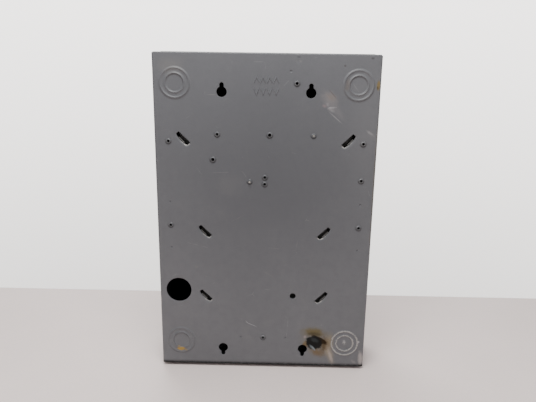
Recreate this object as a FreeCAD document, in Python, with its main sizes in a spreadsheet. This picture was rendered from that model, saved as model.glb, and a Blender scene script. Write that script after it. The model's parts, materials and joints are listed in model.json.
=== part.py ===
import FreeCAD, Part
import math
import os

import Sketcher

# A residential load center: a grey sheet-steel enclosure whose back carries the wall keyholes,
# knock-outs, lances and screw bosses, an interior with bus bars, a main breaker, branch breakers
# and neutral bars, and a front cover with a deadfront and a hinged door.
#
# Frame: the origin is the middle of the enclosure's back face. X runs to the right as seen from the
# front, Y runs backwards (the back face is Y = 0 and everything inside is at negative Y) and Z is up.
# A "depth" is a distance in front of the back face, so a point at depth d has Y = -d.

SIZES = [
    # enclosure
    ("box_width", 362.0), ("box_height", 541.0), ("box_depth", 95.0), ("steel", 1.5),
    ("bend_radius", 3.0), ("front_flange", 16.0), ("end_flange", 14.0), ("weld_gap", 0.3),
    # concentric knock-outs and the one that has been removed
    ("ko_outer_radius", 22.6), ("ko_inner_radius", 13.8), ("ko_step", 0.9), ("ko_ease", 0.6),
    ("ko_side_inset", 35.2), ("ko_end_inset", 45.8), ("small_ko_radius", 11.1),
    ("open_ko_radius", 21.85), ("open_ko_inset", 32.9), ("open_ko_z", -128.0),
    ("wall_ko_depth", 45.0), ("end_ko_x", 62.0), ("end_small_ko_x", 120.0),
    ("side_ko_inset", 42.0), ("side_ko_pitch", 38.0),
    # wall keyholes
    ("keyhole_x", 71.1), ("keyhole_head_radius", 8.2), ("keyhole_slot_radius", 3.5),
    ("keyhole_travel", 11.2), ("keyhole_top_inset", 58.8), ("keyhole_low_inset", 32.3),
    # lances that the interior hooks into
    ("lance_wide_x", 134.2), ("lance_x", 100.5), ("lance_z", 137.3), ("lance_middle_z", -19.8),
    ("lance_length", 26.0), ("lance_width", 6.4), ("lance_bulge", 2.2), ("lance_tab", 8.0),
    # screw bosses pressed out of the back, and the small locating dimples pressed in
    ("boss_height", 1.5), ("boss_flare", 2.3), ("boss_rim", 1.0), ("bore_small", 1.7),
    ("bore_large", 2.2), ("dimple_radius", 2.2), ("dimple_depth", 0.8), ("ground_pitch", 40.0),
    ("plain_hole_radius", 5.2),
    # feed arrows embossed in the back
    ("arrow_pitch", 10.4), ("arrow_width", 8.0), ("arrow_height", 13.0), ("arrow_stroke", 3.0),
    ("arrow_relief", 0.5), ("arrow_upper_z", 231.5), ("arrow_lower_z", 213.0),
    # interior
    ("pan_depth", 14.0), ("pan_half_width", 98.0), ("interior_reach", 151.7),
    ("pan_top_z", 74.0), ("pan_screw_x", 25.6), ("pan_screw_z", 67.0),
    ("bracket_low_z", 79.0), ("bracket_half_width", 42.0), ("bracket_wing", 11.0),
    ("bracket_screw_x", -77.4), ("bracket_screw_z", 144.3), ("mount_screw_radius", 1.6),
    ("base_thick", 12.0), ("base_half_width", 92.0), ("base_wing", 34.0), ("base_wing_top", 12.0),
    ("bus_thick", 3.0), ("bus_inner", 16.0), ("bus_outer", 26.0), ("stab_half", 15.0),
    ("stab_height", 11.5), ("stab_thick", 2.5), ("bus_bolt_radius", 2.5),
    ("neutral_x", 118.0), ("neutral_width", 11.0), ("neutral_height", 12.0),
    ("neutral_pitch", 9.5), ("neutral_screw_radius", 2.4), ("strap_width", 12.0),
    ("strap_thick", 2.0), ("lug_width", 18.0), ("lug_height", 20.0), ("lug_length", 24.0),
    ("lug_bore_radius", 5.5), ("lug_screw_radius", 4.0), ("fit_clearance", 0.1),
    # breakers
    ("rows", 8.0), ("pitch", 25.4), ("case_gap", 0.25), ("case_inner", 3.0), ("case_length", 77.0),
    ("case_lift", 0.5), ("case_depth", 46.0), ("case_ease", 0.8), ("nose", 6.0),
    ("nose_start", 7.0), ("nose_length", 42.0), ("shoulder", 15.0), ("shoulder_length", 18.0),
    ("toggle_x", 28.0), ("toggle_sink", 13.0), ("drum_radius", 12.0), ("toggle_half", 4.4),
    ("toggle_reach", 9.5), ("toggle_root", 4.6), ("toggle_tip", 3.4), ("toggle_tilt", 20.0),
    ("play", 0.4), ("wire_hole_radius", 3.6), ("terminal_screw_radius", 3.6),
    # main breaker
    ("main_half_width", 38.0), ("main_low_z", 60.0), ("main_top_z", 148.0), ("main_split", 52.0),
    ("main_front", 77.0), ("main_wall", 2.5), ("pole_x", 19.0), ("main_nose", 7.0),
    ("main_pivot_z", 100.0), ("main_pivot_depth", 71.5), ("main_toggle_half", 9.0),
    ("trunnion_radius", 3.0), ("arm_pivot_z", 80.0), ("arm_pivot_depth", 38.0),
    ("arm_reach", 24.0), ("arm_half", 4.0), ("crossbar_radius", 4.0), ("journal_radius", 2.0),
    ("contact_depth", 31.0),
    # front
    ("cover_overhang", 5.5), ("cover_lip", 18.5), ("cover_corner", 5.0), ("cover_screw_radius", 1.9),
    ("cover_screw_inset", 8.0), ("cover_screw_end_inset", 32.5), ("cover_screw_length", 10.0),
    ("window_half", 115.0), ("window_low_z", -186.0), ("window_top_z", 178.0),
    ("deadfront_gap", 1.5), ("tray_flange", 8.0), ("opening_gap", 0.8),
    ("door_sheet", 1.2), ("door_proud", 0.5), ("door_flange", 9.0), ("door_gap", 1.2),
    ("hinge_gap", 4.5), ("hinge_inset", 4.0), ("hinge_sink", 5.5), ("hinge_pin_radius", 1.5),
    ("latch_z", -4.0), ("latch_travel", 5.0), ("latch_half", 7.0), ("grip_half", 10.0),
    ("grip_reach", 4.0), ("card_thick", 0.3),
]

# Positions of the screw bosses on the back: name, x, z, alias of the bore radius.
BOSSES = [
    ("side_upper_right", 158.2, 132.2, "bore_small"), ("side_upper_left", -158.2, 132.2, "bore_small"),
    ("side_spare", -158.2, 71.3, "bore_small"), ("ground_right", 158.5, -9.6, "bore_small"),
    ("ground_left", -158.5, -9.6, "bore_small"), ("ground_low", 0.0, -216.5, "bore_small"),
    ("bracket_right", 78.6, 144.3, "bore_small"), ("bracket_middle", -6.4, 144.3, "bore_large"),
    ("bracket_lower", 86.1, 103.0, "bore_large"), ("centre_upper", 0.6, 74.6, "bore_small"),
    ("centre_lower", 0.6, 63.2, "bore_small"), ("top_spare", -48.4, 226.3, "bore_small"),
]
DIMPLES = [("top_dimple", -38.4, 244.8)]
PLAIN_HOLE = (-51.0, -136.0)

doc = FreeCAD.newDocument("load_center")
sheet = doc.addObject("Spreadsheet::Sheet", "sizes")
names_used = {}
written = []


class Size:
    """A length that knows both its value and the spreadsheet formula that gives it."""

    def __init__(self, text, value):
        self.text = text
        self.value = float(value)

    def _join(self, other, sign, value):
        return Size(f"({self.text} {sign} {other.text})", value)

    def __add__(self, other):
        other = size(other)
        return self._join(other, "+", self.value + other.value)

    def __radd__(self, other):
        return size(other) + self

    def __sub__(self, other):
        other = size(other)
        return self._join(other, "-", self.value - other.value)

    def __rsub__(self, other):
        return size(other) - self

    def __mul__(self, other):
        other = size(other)
        return self._join(other, "*", self.value * other.value)

    def __rmul__(self, other):
        return size(other) * self

    def __truediv__(self, other):
        other = size(other)
        return self._join(other, "/", self.value / other.value)

    def __neg__(self):
        return Size(f"(0 - {self.text})", -self.value)


def size(value):
    """A plain number as a Size; a Size stays as it is."""
    return value if isinstance(value, Size) else Size(repr(float(value)), value)


def fill_sheet():
    """Writes every driving dimension to the sheet and returns them as Sizes."""
    rows = list(SIZES)
    for name, x, z, _ in BOSSES:
        rows += [(f"{name}_x", x), (f"{name}_z", z)]
    for name, x, z in DIMPLES:
        rows += [(f"{name}_x", x), (f"{name}_z", z)]
    rows += [("plain_hole_x", PLAIN_HOLE[0]), ("plain_hole_z", PLAIN_HOLE[1])]
    found = {}
    for i, (alias, value) in enumerate(rows, 1):
        sheet.set(f"A{i}", alias)
        sheet.set(f"B{i}", str(value))
        sheet.setAlias(f"B{i}", alias)
        found[alias] = Size(f"sizes.{alias}", value)
    doc.recompute()
    return found


S = fill_sheet()


def fresh(name):
    """A document name that no other object has yet."""
    names_used[name] = names_used.get(name, 0) + 1
    return f"{name}_{names_used[name]}"


def bind(thing, prop, value):
    """Ties a property to the sheet."""
    thing.setExpression(prop, size(value).text)


def block(x, y, z, name="block"):
    """A box given by its low and high side along each axis."""
    made = doc.addObject("Part::Box", fresh(name))
    for prop, axis, (low, high) in (("Length", "x", x), ("Width", "y", y), ("Height", "z", z)):
        bind(made, prop, size(high) - low)
        bind(made, f"Placement.Base.{axis}", low)
    return made


TURNS = {
    "x": FreeCAD.Rotation(FreeCAD.Vector(0, 1, 0), 90),
    "y": FreeCAD.Rotation(FreeCAD.Vector(1, 0, 0), -90),
    "z": FreeCAD.Rotation(),
}


def stand(made, axis, start, at):
    """Turns a round primitive to an axis and puts its foot at start, at the other two coordinates."""
    made.Placement = FreeCAD.Placement(FreeCAD.Vector(), TURNS[axis])
    others = [a for a in "xyz" if a != axis]
    bind(made, f"Placement.Base.{axis}", start)
    for other, value in zip(others, at):
        bind(made, f"Placement.Base.{other}", value)
    return made


def rod(axis, radius, span, at, name="rod"):
    """A cylinder along an axis, from span[0] to span[1], through the point at."""
    made = doc.addObject("Part::Cylinder", fresh(name))
    bind(made, "Radius", radius)
    bind(made, "Height", size(span[1]) - span[0])
    return stand(made, axis, span[0], at)


def cone(axis, radii, span, at, name="cone"):
    """A cut-off cone along an axis, with its radius at each end."""
    made = doc.addObject("Part::Cone", fresh(name))
    bind(made, "Radius1", radii[0])
    bind(made, "Radius2", radii[1])
    bind(made, "Height", size(span[1]) - span[0])
    return stand(made, axis, span[0], at)


class Outline:
    """A sketch whose corners are all placed from the sheet."""

    def __init__(self, name, owner=None, role="XZ_Plane"):
        if owner is None:
            self.sketch = doc.addObject("Sketcher::SketchObject", fresh(name))
        else:
            self.sketch = owner.newObject("Sketcher::SketchObject", fresh(name))
            plane = [o for o in owner.Origin.OriginFeatures if o.Role == role][0]
            self.sketch.AttachmentSupport = [(plane, "")]
            self.sketch.MapMode = "FlatFace"

    def _hold(self, kind, items, value):
        index = self.sketch.addConstraint(Sketcher.Constraint(kind, *items, size(value).value))
        self.sketch.renameConstraint(index, f"c{index}")
        self.sketch.setExpression(f"Constraints.c{index}", size(value).text)

    def _place(self, geometry, end, point):
        self._hold("DistanceX", (-1, 1, geometry, end), point[0])
        self._hold("DistanceY", (-1, 1, geometry, end), point[1])

    def polygon(self, points, bulge=None):
        """Straight sides through the points; with a bulge, the last side is an arc that stands out by it."""
        flat = [FreeCAD.Vector(size(p[0]).value, size(p[1]).value, 0) for p in points]
        count = len(points)
        first = self.sketch.GeometryCount
        for i in range(count):
            start, end = flat[i], flat[(i + 1) % count]
            if bulge is not None and i == count - 1:
                along = (end - start).normalize()
                out = FreeCAD.Vector(along.y, -along.x, 0) * size(bulge).value
                self.sketch.addGeometry(Part.Arc(start, (start + end) / 2 + out, end))
            else:
                self.sketch.addGeometry(Part.LineSegment(start, end))
        sides = count if bulge is None else count - 1
        for i in range(count - 1 if bulge is not None else count):
            if bulge is None or i < count - 2:
                ends = (first + i, 2, first + (i + 1) % count, 1)
                self.sketch.addConstraint(Sketcher.Constraint("Coincident", *ends))
        for i in range(sides):
            self._place(first + i, 1, points[i])
        if bulge is not None:
            arc = first + count - 1
            self.sketch.addConstraint(Sketcher.Constraint("Coincident", first + count - 2, 2, arc, 1))
            self.sketch.addConstraint(Sketcher.Constraint("Coincident", arc, 2, first, 1))
            self._place(first + count - 2, 2, points[-1])
        return self

    def circle(self, centre, radius):
        """A circle by its centre and radius."""
        middle = FreeCAD.Vector(size(centre[0]).value, size(centre[1]).value, 0)
        index = self.sketch.addGeometry(Part.Circle(middle, FreeCAD.Vector(0, 0, 1), size(radius).value))
        self._place(index, 3, centre)
        self._hold("Radius", (index,), radius)
        return self


def slab(points, depths, name="slab", bulge=None, bulge_radius=None):
    """An outline in X and Z, as thick as the two depths say."""
    outline = Outline(name)
    turn = FreeCAD.Rotation(FreeCAD.Vector(1, 0, 0), 90)
    outline.sketch.Placement = FreeCAD.Placement(FreeCAD.Vector(), turn)
    outline.polygon(points, bulge)
    if bulge is not None:
        arc = outline.sketch.GeometryCount - 1
        outline._hold("Radius", (arc,), bulge_radius)
    bind(outline.sketch, "Placement.Base.y", -size(depths[0]))
    made = doc.addObject("Part::Extrusion", fresh(name))
    made.Base = outline.sketch
    made.DirMode = "Custom"
    made.Dir = FreeCAD.Vector(0, -1, 0)
    made.Solid = True
    bind(made, "LengthFwd", size(depths[1]) - depths[0])
    return made


def fuse(*parts, name="joined"):
    """All the parts as one solid."""
    made = doc.addObject("Part::MultiFuse", fresh(name))
    made.Shapes = list(parts)
    made.Refine = True
    return made


def group(*parts, name="group"):
    """Separate solids that share one node or one cut."""
    made = doc.addObject("Part::Compound", fresh(name))
    made.Links = list(parts)
    return made


def cut(base, *tools, name="cut"):
    """The base without the tools."""
    made = doc.addObject("Part::Cut", fresh(name))
    made.Base = base
    made.Tool = tools[0] if len(tools) == 1 else fuse(*tools, name="tools")
    made.Refine = True
    return made


def ease(base, radius, wanted, name="eased"):
    """Rounds the edges for which wanted(edge) is true."""
    doc.recompute()
    value = size(radius).value
    chosen = [i for i, edge in enumerate(base.Shape.Edges, 1) if wanted(edge)]
    made = doc.addObject("Part::Fillet", fresh(name))
    made.Base = base
    made.Edges = [(i, value, value) for i in chosen]
    return made


def runs_along(edge, axis):
    """Whether a straight edge runs along an axis."""
    if not isinstance(edge.Curve, Part.Line):
        return False
    start, end = (v.Point for v in edge.Vertexes)
    direction = (end - start).normalize()
    return abs(abs(direction["xyz".index(axis)]) - 1) < 1e-6


def near(value, wanted, slack=0.01):
    """Whether two lengths are the same within a hundredth of a millimetre."""
    return abs(value - size(wanted).value) < slack


def node(made, label):
    """Names a finished sub-part and keeps it for writing."""
    made.Label = label
    written.append(made)
    return made


def deep(near_depth, far_depth):
    """The Y range between two depths."""
    return (-size(far_depth), -size(near_depth))


def about(centre, half):
    """A range with the same reach on both sides of a centre."""
    return (size(centre) - half, size(centre) + half)


def side(sign, inner, outer):
    """The X range between two distances from the middle plane, on one side of it."""
    return (size(inner), size(outer)) if sign > 0 else (-size(outer), -size(inner))


def fit(radius):
    """A hole's radius for a shaft of this radius."""
    return size(radius) + S["fit_clearance"]


# Planes that several pieces share.
HALF_W = S["box_width"] / 2
HALF_H = S["box_height"] / 2
STEEL = S["steel"]
DEPTH = S["box_depth"]
PLATE = S["pan_depth"] + STEEL
BASE_TOP = PLATE + S["base_thick"]
BUS_TOP = BASE_TOP + S["bus_thick"]
CASE_BACK = BUS_TOP + S["case_lift"]
CASE_FRONT = CASE_BACK + S["case_depth"]
NOSE_FRONT = CASE_FRONT + S["nose"]
PIVOT_DEPTH = NOSE_FRONT - S["toggle_sink"]
TRAY_BACK = CASE_FRONT + S["deadfront_gap"]
TRAY_FRONT = TRAY_BACK + STEEL
COVER_FRONT = DEPTH + STEEL
DOOR_FRONT = COVER_FRONT + S["door_proud"]
DOOR_BACK = DOOR_FRONT - S["door_sheet"]
DOOR_LEFT = S["hinge_gap"] - S["window_half"]
DOOR_RIGHT = S["window_half"] - S["door_gap"]
HINGE_X = DOOR_LEFT + S["hinge_inset"]
HINGE_DEPTH = DOOR_FRONT - S["hinge_sink"]
BRANCH_TOP = S["rows"] * S["pitch"] - S["interior_reach"]


def row_z(row):
    """The height of the middle of a breaker space, counted from the lowest."""
    return S["pitch"] * (row + 0.5) - S["interior_reach"]


def row_edge(row):
    """The height of the lower side of a breaker space."""
    return S["pitch"] * row - S["interior_reach"]


# ---------------------------------------------------------------- enclosure

def knockout_tools(axis, face, way, centre, outer, inner=None):
    """A knock-out pressed out of a sheet: what stands out of the face, and what is cut behind it.

    face is the sheet's outer face along the axis, way is +1 or -1 for the side that is outside.
    """
    step = S["ko_step"]
    ease_width = S["ko_ease"]
    if way > 0:
        raised, hollow = (face, face + step), (face - STEEL - 0.1, face - STEEL + step)
        radii = (size(outer), size(outer) - ease_width)
        core_radii = (size(inner) - ease_width, size(inner)) if inner is not None else None
    else:
        raised, hollow = (size(face) - step, face), (face + STEEL - step, face + STEEL + 0.1)
        radii = (size(outer) - ease_width, size(outer))
        core_radii = (size(inner), size(inner) - ease_width) if inner is not None else None
    add = cone(axis, radii, raised, centre)
    take = rod(axis, size(outer) - ease_width, hollow, centre)
    if inner is not None:
        add = cut(add, cone(axis, core_radii, raised, centre))
        take = cut(take, rod(axis, inner, hollow, centre))
    return add, take


def keyhole(x, head_z, way):
    """A screw head's hole and the slot that the wall screw slides into."""
    depths = (-STEEL, STEEL * 2)
    end_z = head_z + S["keyhole_travel"] * way
    low, high = (head_z, end_z) if way > 0 else (end_z, head_z)
    return [
        rod("y", S["keyhole_head_radius"], deep(*depths), (x, head_z)),
        rod("y", S["keyhole_slot_radius"], deep(*depths), (x, end_z)),
        block(about(x, S["keyhole_slot_radius"]), deep(*depths), (low, high)),
    ]


def lance(x, z, way):
    """A slanting slot and the tab bent inwards along its lower side. way is +1 where it rises to +X."""
    diagonal = math.sqrt(0.5)
    half = S["lance_length"] / 2 * diagonal
    wide = S["lance_width"] / 2 * diagonal
    tab = STEEL * diagonal
    along = (half * way, half)
    across = (wide * way, -wide)
    lower = [
        (x - along[0] + across[0], z - along[1] + across[1]),
        (x + along[0] + across[0], z + along[1] + across[1]),
    ]
    upper = [
        (x + along[0] - across[0], z + along[1] - across[1]),
        (x - along[0] - across[0], z - along[1] - across[1]),
    ]
    chord = S["lance_length"] / 2
    radius = (chord * chord + S["lance_bulge"] * S["lance_bulge"]) / (S["lance_bulge"] * 2)
    if way > 0:
        points = [lower[1], upper[0], upper[1], lower[0]]
    else:
        points = [lower[0], upper[1], upper[0], lower[1]]
    slot = slab(points, (-STEEL, STEEL * 2), "lance", S["lance_bulge"], radius)
    out = S["lance_bulge"] * diagonal
    ends = [(p[0] + out * way, p[1] - out) for p in lower]
    outer = [(p[0] + tab * way, p[1] - tab) for p in ends]
    flap = slab([ends[0], ends[1], outer[1], outer[0]], (STEEL / 2, STEEL + S["lance_tab"]), "lance_tab")
    return slot, flap


def boss(x, z, bore):
    """A threaded collar pressed outwards: the cone that stands out, the hollow behind it and the bore."""
    rise = S["boss_height"]
    foot = bore + S["boss_flare"]
    rim = bore + S["boss_rim"]
    outside = cone("y", (foot, rim), (size(0) - STEEL / 4, rise), (x, z), "boss")
    inside = cone("y", (foot - STEEL / 2, bore), (-STEEL - 0.1, size(0)), (x, z), "boss_hollow")
    hole = rod("y", bore, (-STEEL * 2, rise * 2), (x, z), "bore")
    return outside, [inside, hole]


def arrow(x, z, way):
    """One embossed chevron that points up or down."""
    w, h = S["arrow_width"] / 2, S["arrow_height"] / 2
    stroke = S["arrow_stroke"]
    tip, foot = z + h * way, z - h * way
    shape = [
        (x, tip), (x + w, foot + stroke * way), (x + w, foot),
        (x, tip - stroke * 1.4 * way), (x - w, foot), (x - w, foot + stroke * way),
    ]
    return slab(shape, (-S["arrow_relief"], STEEL / 4), "arrow")


def enclosure_wrap():
    """The back and both sides, folded from one sheet, with flanges turned in at the front."""
    body = doc.addObject("PartDesign::Body", "wrap_body")
    inner_x, lip_x = HALF_W - STEEL, HALF_W - S["front_flange"]
    front, lip_back = -DEPTH, STEEL - DEPTH
    right = [(HALF_W, 0), (HALF_W, front), (lip_x, front), (lip_x, lip_back), (inner_x, lip_back),
             (inner_x, -STEEL)]
    left = [(-size(x), y) for x, y in reversed(right)]
    profile = Outline("wrap_profile", body, "XY_Plane").polygon(right + left)
    pad = body.newObject("PartDesign::Pad", "wrap_pad")
    pad.Profile = profile.sketch
    pad.Midplane = True
    bind(pad, "Length", S["box_height"])
    doc.recompute()
    bends = []
    for i, edge in enumerate(pad.Shape.Edges, 1):
        if runs_along(edge, "z") and near(edge.Vertexes[0].Y, 0):
            bends.append(f"Edge{i}")
    fillet = body.newObject("PartDesign::Fillet", "outer_bends")
    fillet.Base = (pad, bends)
    bind(fillet, "Radius", S["bend_radius"])
    doc.recompute()
    inside = []
    for i, edge in enumerate(fillet.Shape.Edges, 1):
        if runs_along(edge, "z") and near(edge.Vertexes[0].Y, -STEEL):
            if near(abs(edge.Vertexes[0].X), inner_x):
                inside.append(f"Edge{i}")
    inner = body.newObject("PartDesign::Fillet", "inner_bends")
    inner.Base = (fillet, inside)
    bind(inner, "Radius", S["bend_radius"] - STEEL)
    body.Tip = inner
    doc.recompute()

    added, taken = [], []
    ko_x, ko_z = HALF_W - S["ko_side_inset"], HALF_H - S["ko_end_inset"]
    for sx in (-1, 1):
        for sz in (-1, 1):
            add, take = knockout_tools("y", size(0), 1, (ko_x * sx, ko_z * sz),
                                       S["ko_outer_radius"], S["ko_inner_radius"])
            added.append(add)
            taken.append(take)
        wall_y = -S["wall_ko_depth"]
        for sz in (-1, 1):
            for step in (0, 1):
                z = (HALF_H - S["side_ko_inset"] - S["side_ko_pitch"] * step) * sz
                add, take = knockout_tools("x", HALF_W * sx, sx, (wall_y, z), S["small_ko_radius"])
                added.append(add)
                taken.append(take)
        taken += keyhole(S["keyhole_x"] * sx, HALF_H - S["keyhole_top_inset"], 1)
        taken += keyhole(S["keyhole_x"] * sx, S["keyhole_low_inset"] - HALF_H, -1)
        for x, z in ((S["lance_wide_x"], S["lance_z"]), (S["lance_x"], S["lance_middle_z"]),
                     (S["lance_x"], -S["lance_z"])):
            slot, flap = lance(x * sx, z, sx)
            taken.append(slot)
            added.append(flap)
        for dz in (-1, 1):
            z = S["ground_right_z"] + S["ground_pitch"] * dz
            taken.append(dimple(S["ground_right_x"] * sx, z))
            low_x = S["ground_low_x"] + S["ground_pitch"] * dz
            if sx > 0:
                taken.append(dimple(low_x, S["ground_low_z"]))
        for z in cover_screw_heights():
            taken.append(rod("y", fit(S["cover_screw_radius"]), deep(DEPTH - STEEL * 2, DEPTH + STEEL),
                             ((HALF_W - S["cover_screw_inset"]) * sx, z)))
    taken.append(rod("y", S["open_ko_radius"], deep(-STEEL, STEEL * 2),
                     (HALF_W - S["open_ko_inset"], S["open_ko_z"])))
    taken.append(rod("y", S["plain_hole_radius"], deep(-STEEL, STEEL * 2),
                     (S["plain_hole_x"], S["plain_hole_z"])))
    for name, _, _ in DIMPLES:
        taken.append(dimple(S[f"{name}_x"], S[f"{name}_z"]))
    bosses = [(S[f"{name}_x"], S[f"{name}_z"], S[bore]) for name, _, _, bore in BOSSES]
    bosses.append((S["pan_screw_x"], S["pan_screw_z"], fit(S["mount_screw_radius"])))
    bosses.append((S["bracket_screw_x"], S["bracket_screw_z"], fit(S["mount_screw_radius"])))
    for x, z, bore in bosses:
        outside, hollow = boss(x, z, bore)
        added.append(outside)
        taken += hollow
    for i in range(4):
        x = S["arrow_pitch"] * (i - 1.5)
        added.append(arrow(x, S["arrow_upper_z"], 1))
        added.append(arrow(x, S["arrow_lower_z"], -1))
    return node(cut(fuse(body, *added, name="wrap_raised"), *taken, name="wrap"), "enclosure_wrap")


def dimple(x, z):
    """A small locating dent in the back."""
    radius = S["dimple_radius"]
    return cone("y", (radius / 3, radius), (-S["dimple_depth"], size(0)), (x, z), "dimple")


def cover_screw_heights():
    """The heights of the cover's screws."""
    reach = HALF_H - S["cover_screw_end_inset"]
    return [-reach, size(0), reach]


def end_wall(way, label):
    """The top or bottom of the enclosure: a plate with four turned flanges, welded into the wrap."""
    outer = HALF_H * way
    inner = outer - STEEL * way
    edge = outer - S["end_flange"] * way
    gap = S["weld_gap"]
    plate_z = (inner, outer) if way > 0 else (outer, inner)
    wall_z = (edge, outer) if way > 0 else (outer, edge)
    half = HALF_W - STEEL - gap
    tongue = HALF_W - S["front_flange"] - gap
    back, front = STEEL + gap, DEPTH - STEEL - gap
    parts = [
        block(about(0, half), deep(back, front), plate_z),
        block(about(0, half - S["bend_radius"]), deep(back, back + STEEL), wall_z),
        block(about(0, tongue), deep(back, DEPTH), plate_z),
        block(about(0, tongue), deep(DEPTH - STEEL, DEPTH), wall_z),
    ]
    for sx in (-1, 1):
        parts.append(block(side(sx, half - STEEL, half), deep(back + S["bend_radius"], front), wall_z))
    taken = []
    for sx in (-1, 1):
        add, take = knockout_tools("z", outer, way, (S["end_ko_x"] * sx, -S["wall_ko_depth"]),
                                   S["ko_outer_radius"], S["ko_inner_radius"])
        parts.append(add)
        taken.append(take)
    for x in (-S["end_small_ko_x"], size(0), S["end_small_ko_x"]):
        add, take = knockout_tools("z", outer, way, (x, -S["wall_ko_depth"]), S["small_ko_radius"])
        parts.append(add)
        taken.append(take)
    # the corner radius of the wrap's back bends
    for sx in (-1, 1):
        taken.append(block(side(sx, half - S["bend_radius"], half + 1), deep(0, back + S["bend_radius"]),
                           (plate_z[0] - 1, plate_z[1] + 1)))
    return node(cut(fuse(*parts, name="end_raised"), *taken, name="end"), label)


# ---------------------------------------------------------------- interior

def tongue(x, z, way):
    """A hook on the interior that reaches through a lance."""
    diagonal = math.sqrt(0.5)
    half = S["lance_length"] / 4 * diagonal
    thin = STEEL / 2 * diagonal
    along, across = (half * way, half), (thin * way, -thin)
    offset = (S["lance_width"] / 2 + S["lance_bulge"] - STEEL / 2 - 0.1) * diagonal
    x, z = x + offset * way, z - offset
    points = [
        (x - along[0] - across[0], z - along[1] - across[1]),
        (x - along[0] + across[0], z - along[1] + across[1]),
        (x + along[0] + across[0], z + along[1] + across[1]),
        (x + along[0] - across[0], z + along[1] - across[1]),
    ]
    return slab(points, (STEEL * 2, PLATE), "tongue")


def leg_plate(z, way, inner):
    """The ear of plate that carries a tongue."""
    reach = S["lance_length"] / 2
    return block(side(way, inner, S["lance_x"] + reach / 2), deep(S["pan_depth"], PLATE), about(z, reach))


def interior_pan():
    """The steel pan under the branch breakers, with side flanges and hooks for the lances."""
    half = S["pan_half_width"]
    low, high = -S["interior_reach"] - S["strap_width"], S["pan_top_z"]
    flange_z = (S["lance_length"] * 1.5 - S["interior_reach"], S["lance_middle_z"] - S["lance_length"])
    parts = [block(about(0, half), deep(S["pan_depth"], PLATE), (low, high))]
    for sx in (-1, 1):
        parts.append(block(side(sx, half - STEEL, half), deep(STEEL + 0.2, PLATE), flange_z))
        for z in (S["lance_middle_z"], -S["lance_z"]):
            parts.append(leg_plate(z, sx, half - 1))
            parts.append(tongue(S["lance_x"] * sx, z, sx))
    foot = block(about(S["pan_screw_x"], 6), deep(STEEL + 0.2, S["pan_depth"] + 0.5),
                 about(S["pan_screw_z"], 5))
    hole = rod("y", fit(S["mount_screw_radius"]), deep(0, PLATE + 1), (S["pan_screw_x"], S["pan_screw_z"]))
    bond = rod("y", fit(S["mount_screw_radius"]), deep(0, PLATE + 1), (bond_x(), bond_z()))
    return node(cut(fuse(*parts, foot), hole, bond, name="pan"), "interior_pan")


def main_bracket():
    """The steel bracket under the main breaker, with wings that hook into the upper lances."""
    low, high = S["bracket_low_z"], S["interior_reach"]
    parts = [
        block(about(0, S["bracket_half_width"]), deep(S["pan_depth"], PLATE), (low, high)),
        block(about(0, S["lance_wide_x"] + 8), deep(S["pan_depth"], PLATE),
              (S["lance_z"] - S["bracket_wing"], high)),
    ]
    for sx in (-1, 1):
        parts.append(block(side(sx, S["bracket_half_width"] - STEEL, S["bracket_half_width"]),
                           deep(STEEL + 0.2, PLATE), (low, S["lance_z"] - S["bracket_wing"])))
        parts.append(tongue(S["lance_wide_x"] * sx, S["lance_z"], sx))
    parts.append(block(about(S["bracket_screw_x"], 6), deep(STEEL + 0.2, S["pan_depth"] + 0.5),
                       about(S["bracket_screw_z"], 5)))
    hole = rod("y", fit(S["mount_screw_radius"]), deep(0, PLATE + 1),
               (S["bracket_screw_x"], S["bracket_screw_z"]))
    return node(cut(fuse(*parts), hole, name="bracket"), "main_bracket")


def slotted_screw(x, z, seat, shank_end, radius, head_radius, head_height):
    """A round-head screw along Y with a driver slot; its head sits in front of the seat."""
    top = size(seat) + head_height
    parts = fuse(
        rod("y", head_radius, deep(seat, top), (x, z)),
        rod("y", radius, deep(shank_end, size(seat) + head_height / 2), (x, z)),
    )
    slot = block(about(x, size(head_radius) + 1), deep(top - size(head_height) * 0.4, top + 1),
                 about(z, size(head_radius) * 0.14))
    return cut(parts, slot)


def mounting_screws():
    """The two screws that hold the interior to the back, with tips that show behind."""
    tip = STEEL - S["boss_height"] * 2
    for label, x, z, end in (("pan_screw", S["pan_screw_x"], S["pan_screw_z"], tip - STEEL * 1.4),
                             ("bracket_screw", S["bracket_screw_x"], S["bracket_screw_z"], tip)):
        node(slotted_screw(x, z, PLATE, end, S["mount_screw_radius"], 4.0, 2.4), label)


def neutral_low():
    """The height of the lower end of the neutral bars."""
    return row_edge(0) + 1


def insulating_base():
    """The moulded base that carries the bus bars, with wings under the neutral bars."""
    low, high = -S["interior_reach"], BRANCH_TOP + 5
    wing = S["base_half_width"] + S["base_wing"]
    wing_top = S["base_wing_top"]
    parts = [
        block(about(0, S["base_half_width"]), deep(PLATE, BASE_TOP), (low, high)),
        block(about(0, wing), deep(PLATE, BASE_TOP), (low - S["strap_width"], wing_top)),
    ]
    rail_in = S["case_inner"] + S["case_length"] + 0.6
    for sx in (-1, 1):
        parts.append(block(side(sx, rail_in, rail_in + 4), deep(BASE_TOP - 1, BASE_TOP + 12),
                           (low, BRANCH_TOP)))
        parts.append(block(side(sx, S["neutral_x"] - S["neutral_width"] / 2 - 2, wing),
                           deep(BASE_TOP - 1, BASE_TOP + S["strap_thick"]), (neutral_low(), wing_top)))
    taken = []
    for row in range(1, int(S["rows"].value)):
        for sx in (-1, 1):
            taken.append(block(side(sx, S["bus_outer"] + 6, rail_in - 6), deep(BASE_TOP - 5, BASE_TOP + 1),
                               about(row_edge(row), 4)))
    taken.append(rod("y", fit(S["mount_screw_radius"]), deep(PLATE - 1, BASE_TOP + 3), (bond_x(), bond_z())))
    taken.append(block(about(0, 8), deep(PLATE + 3, BASE_TOP + 1), (high - 3, high + 1)))
    return node(cut(fuse(*parts), *taken, name="base"), "insulating_base")


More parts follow.
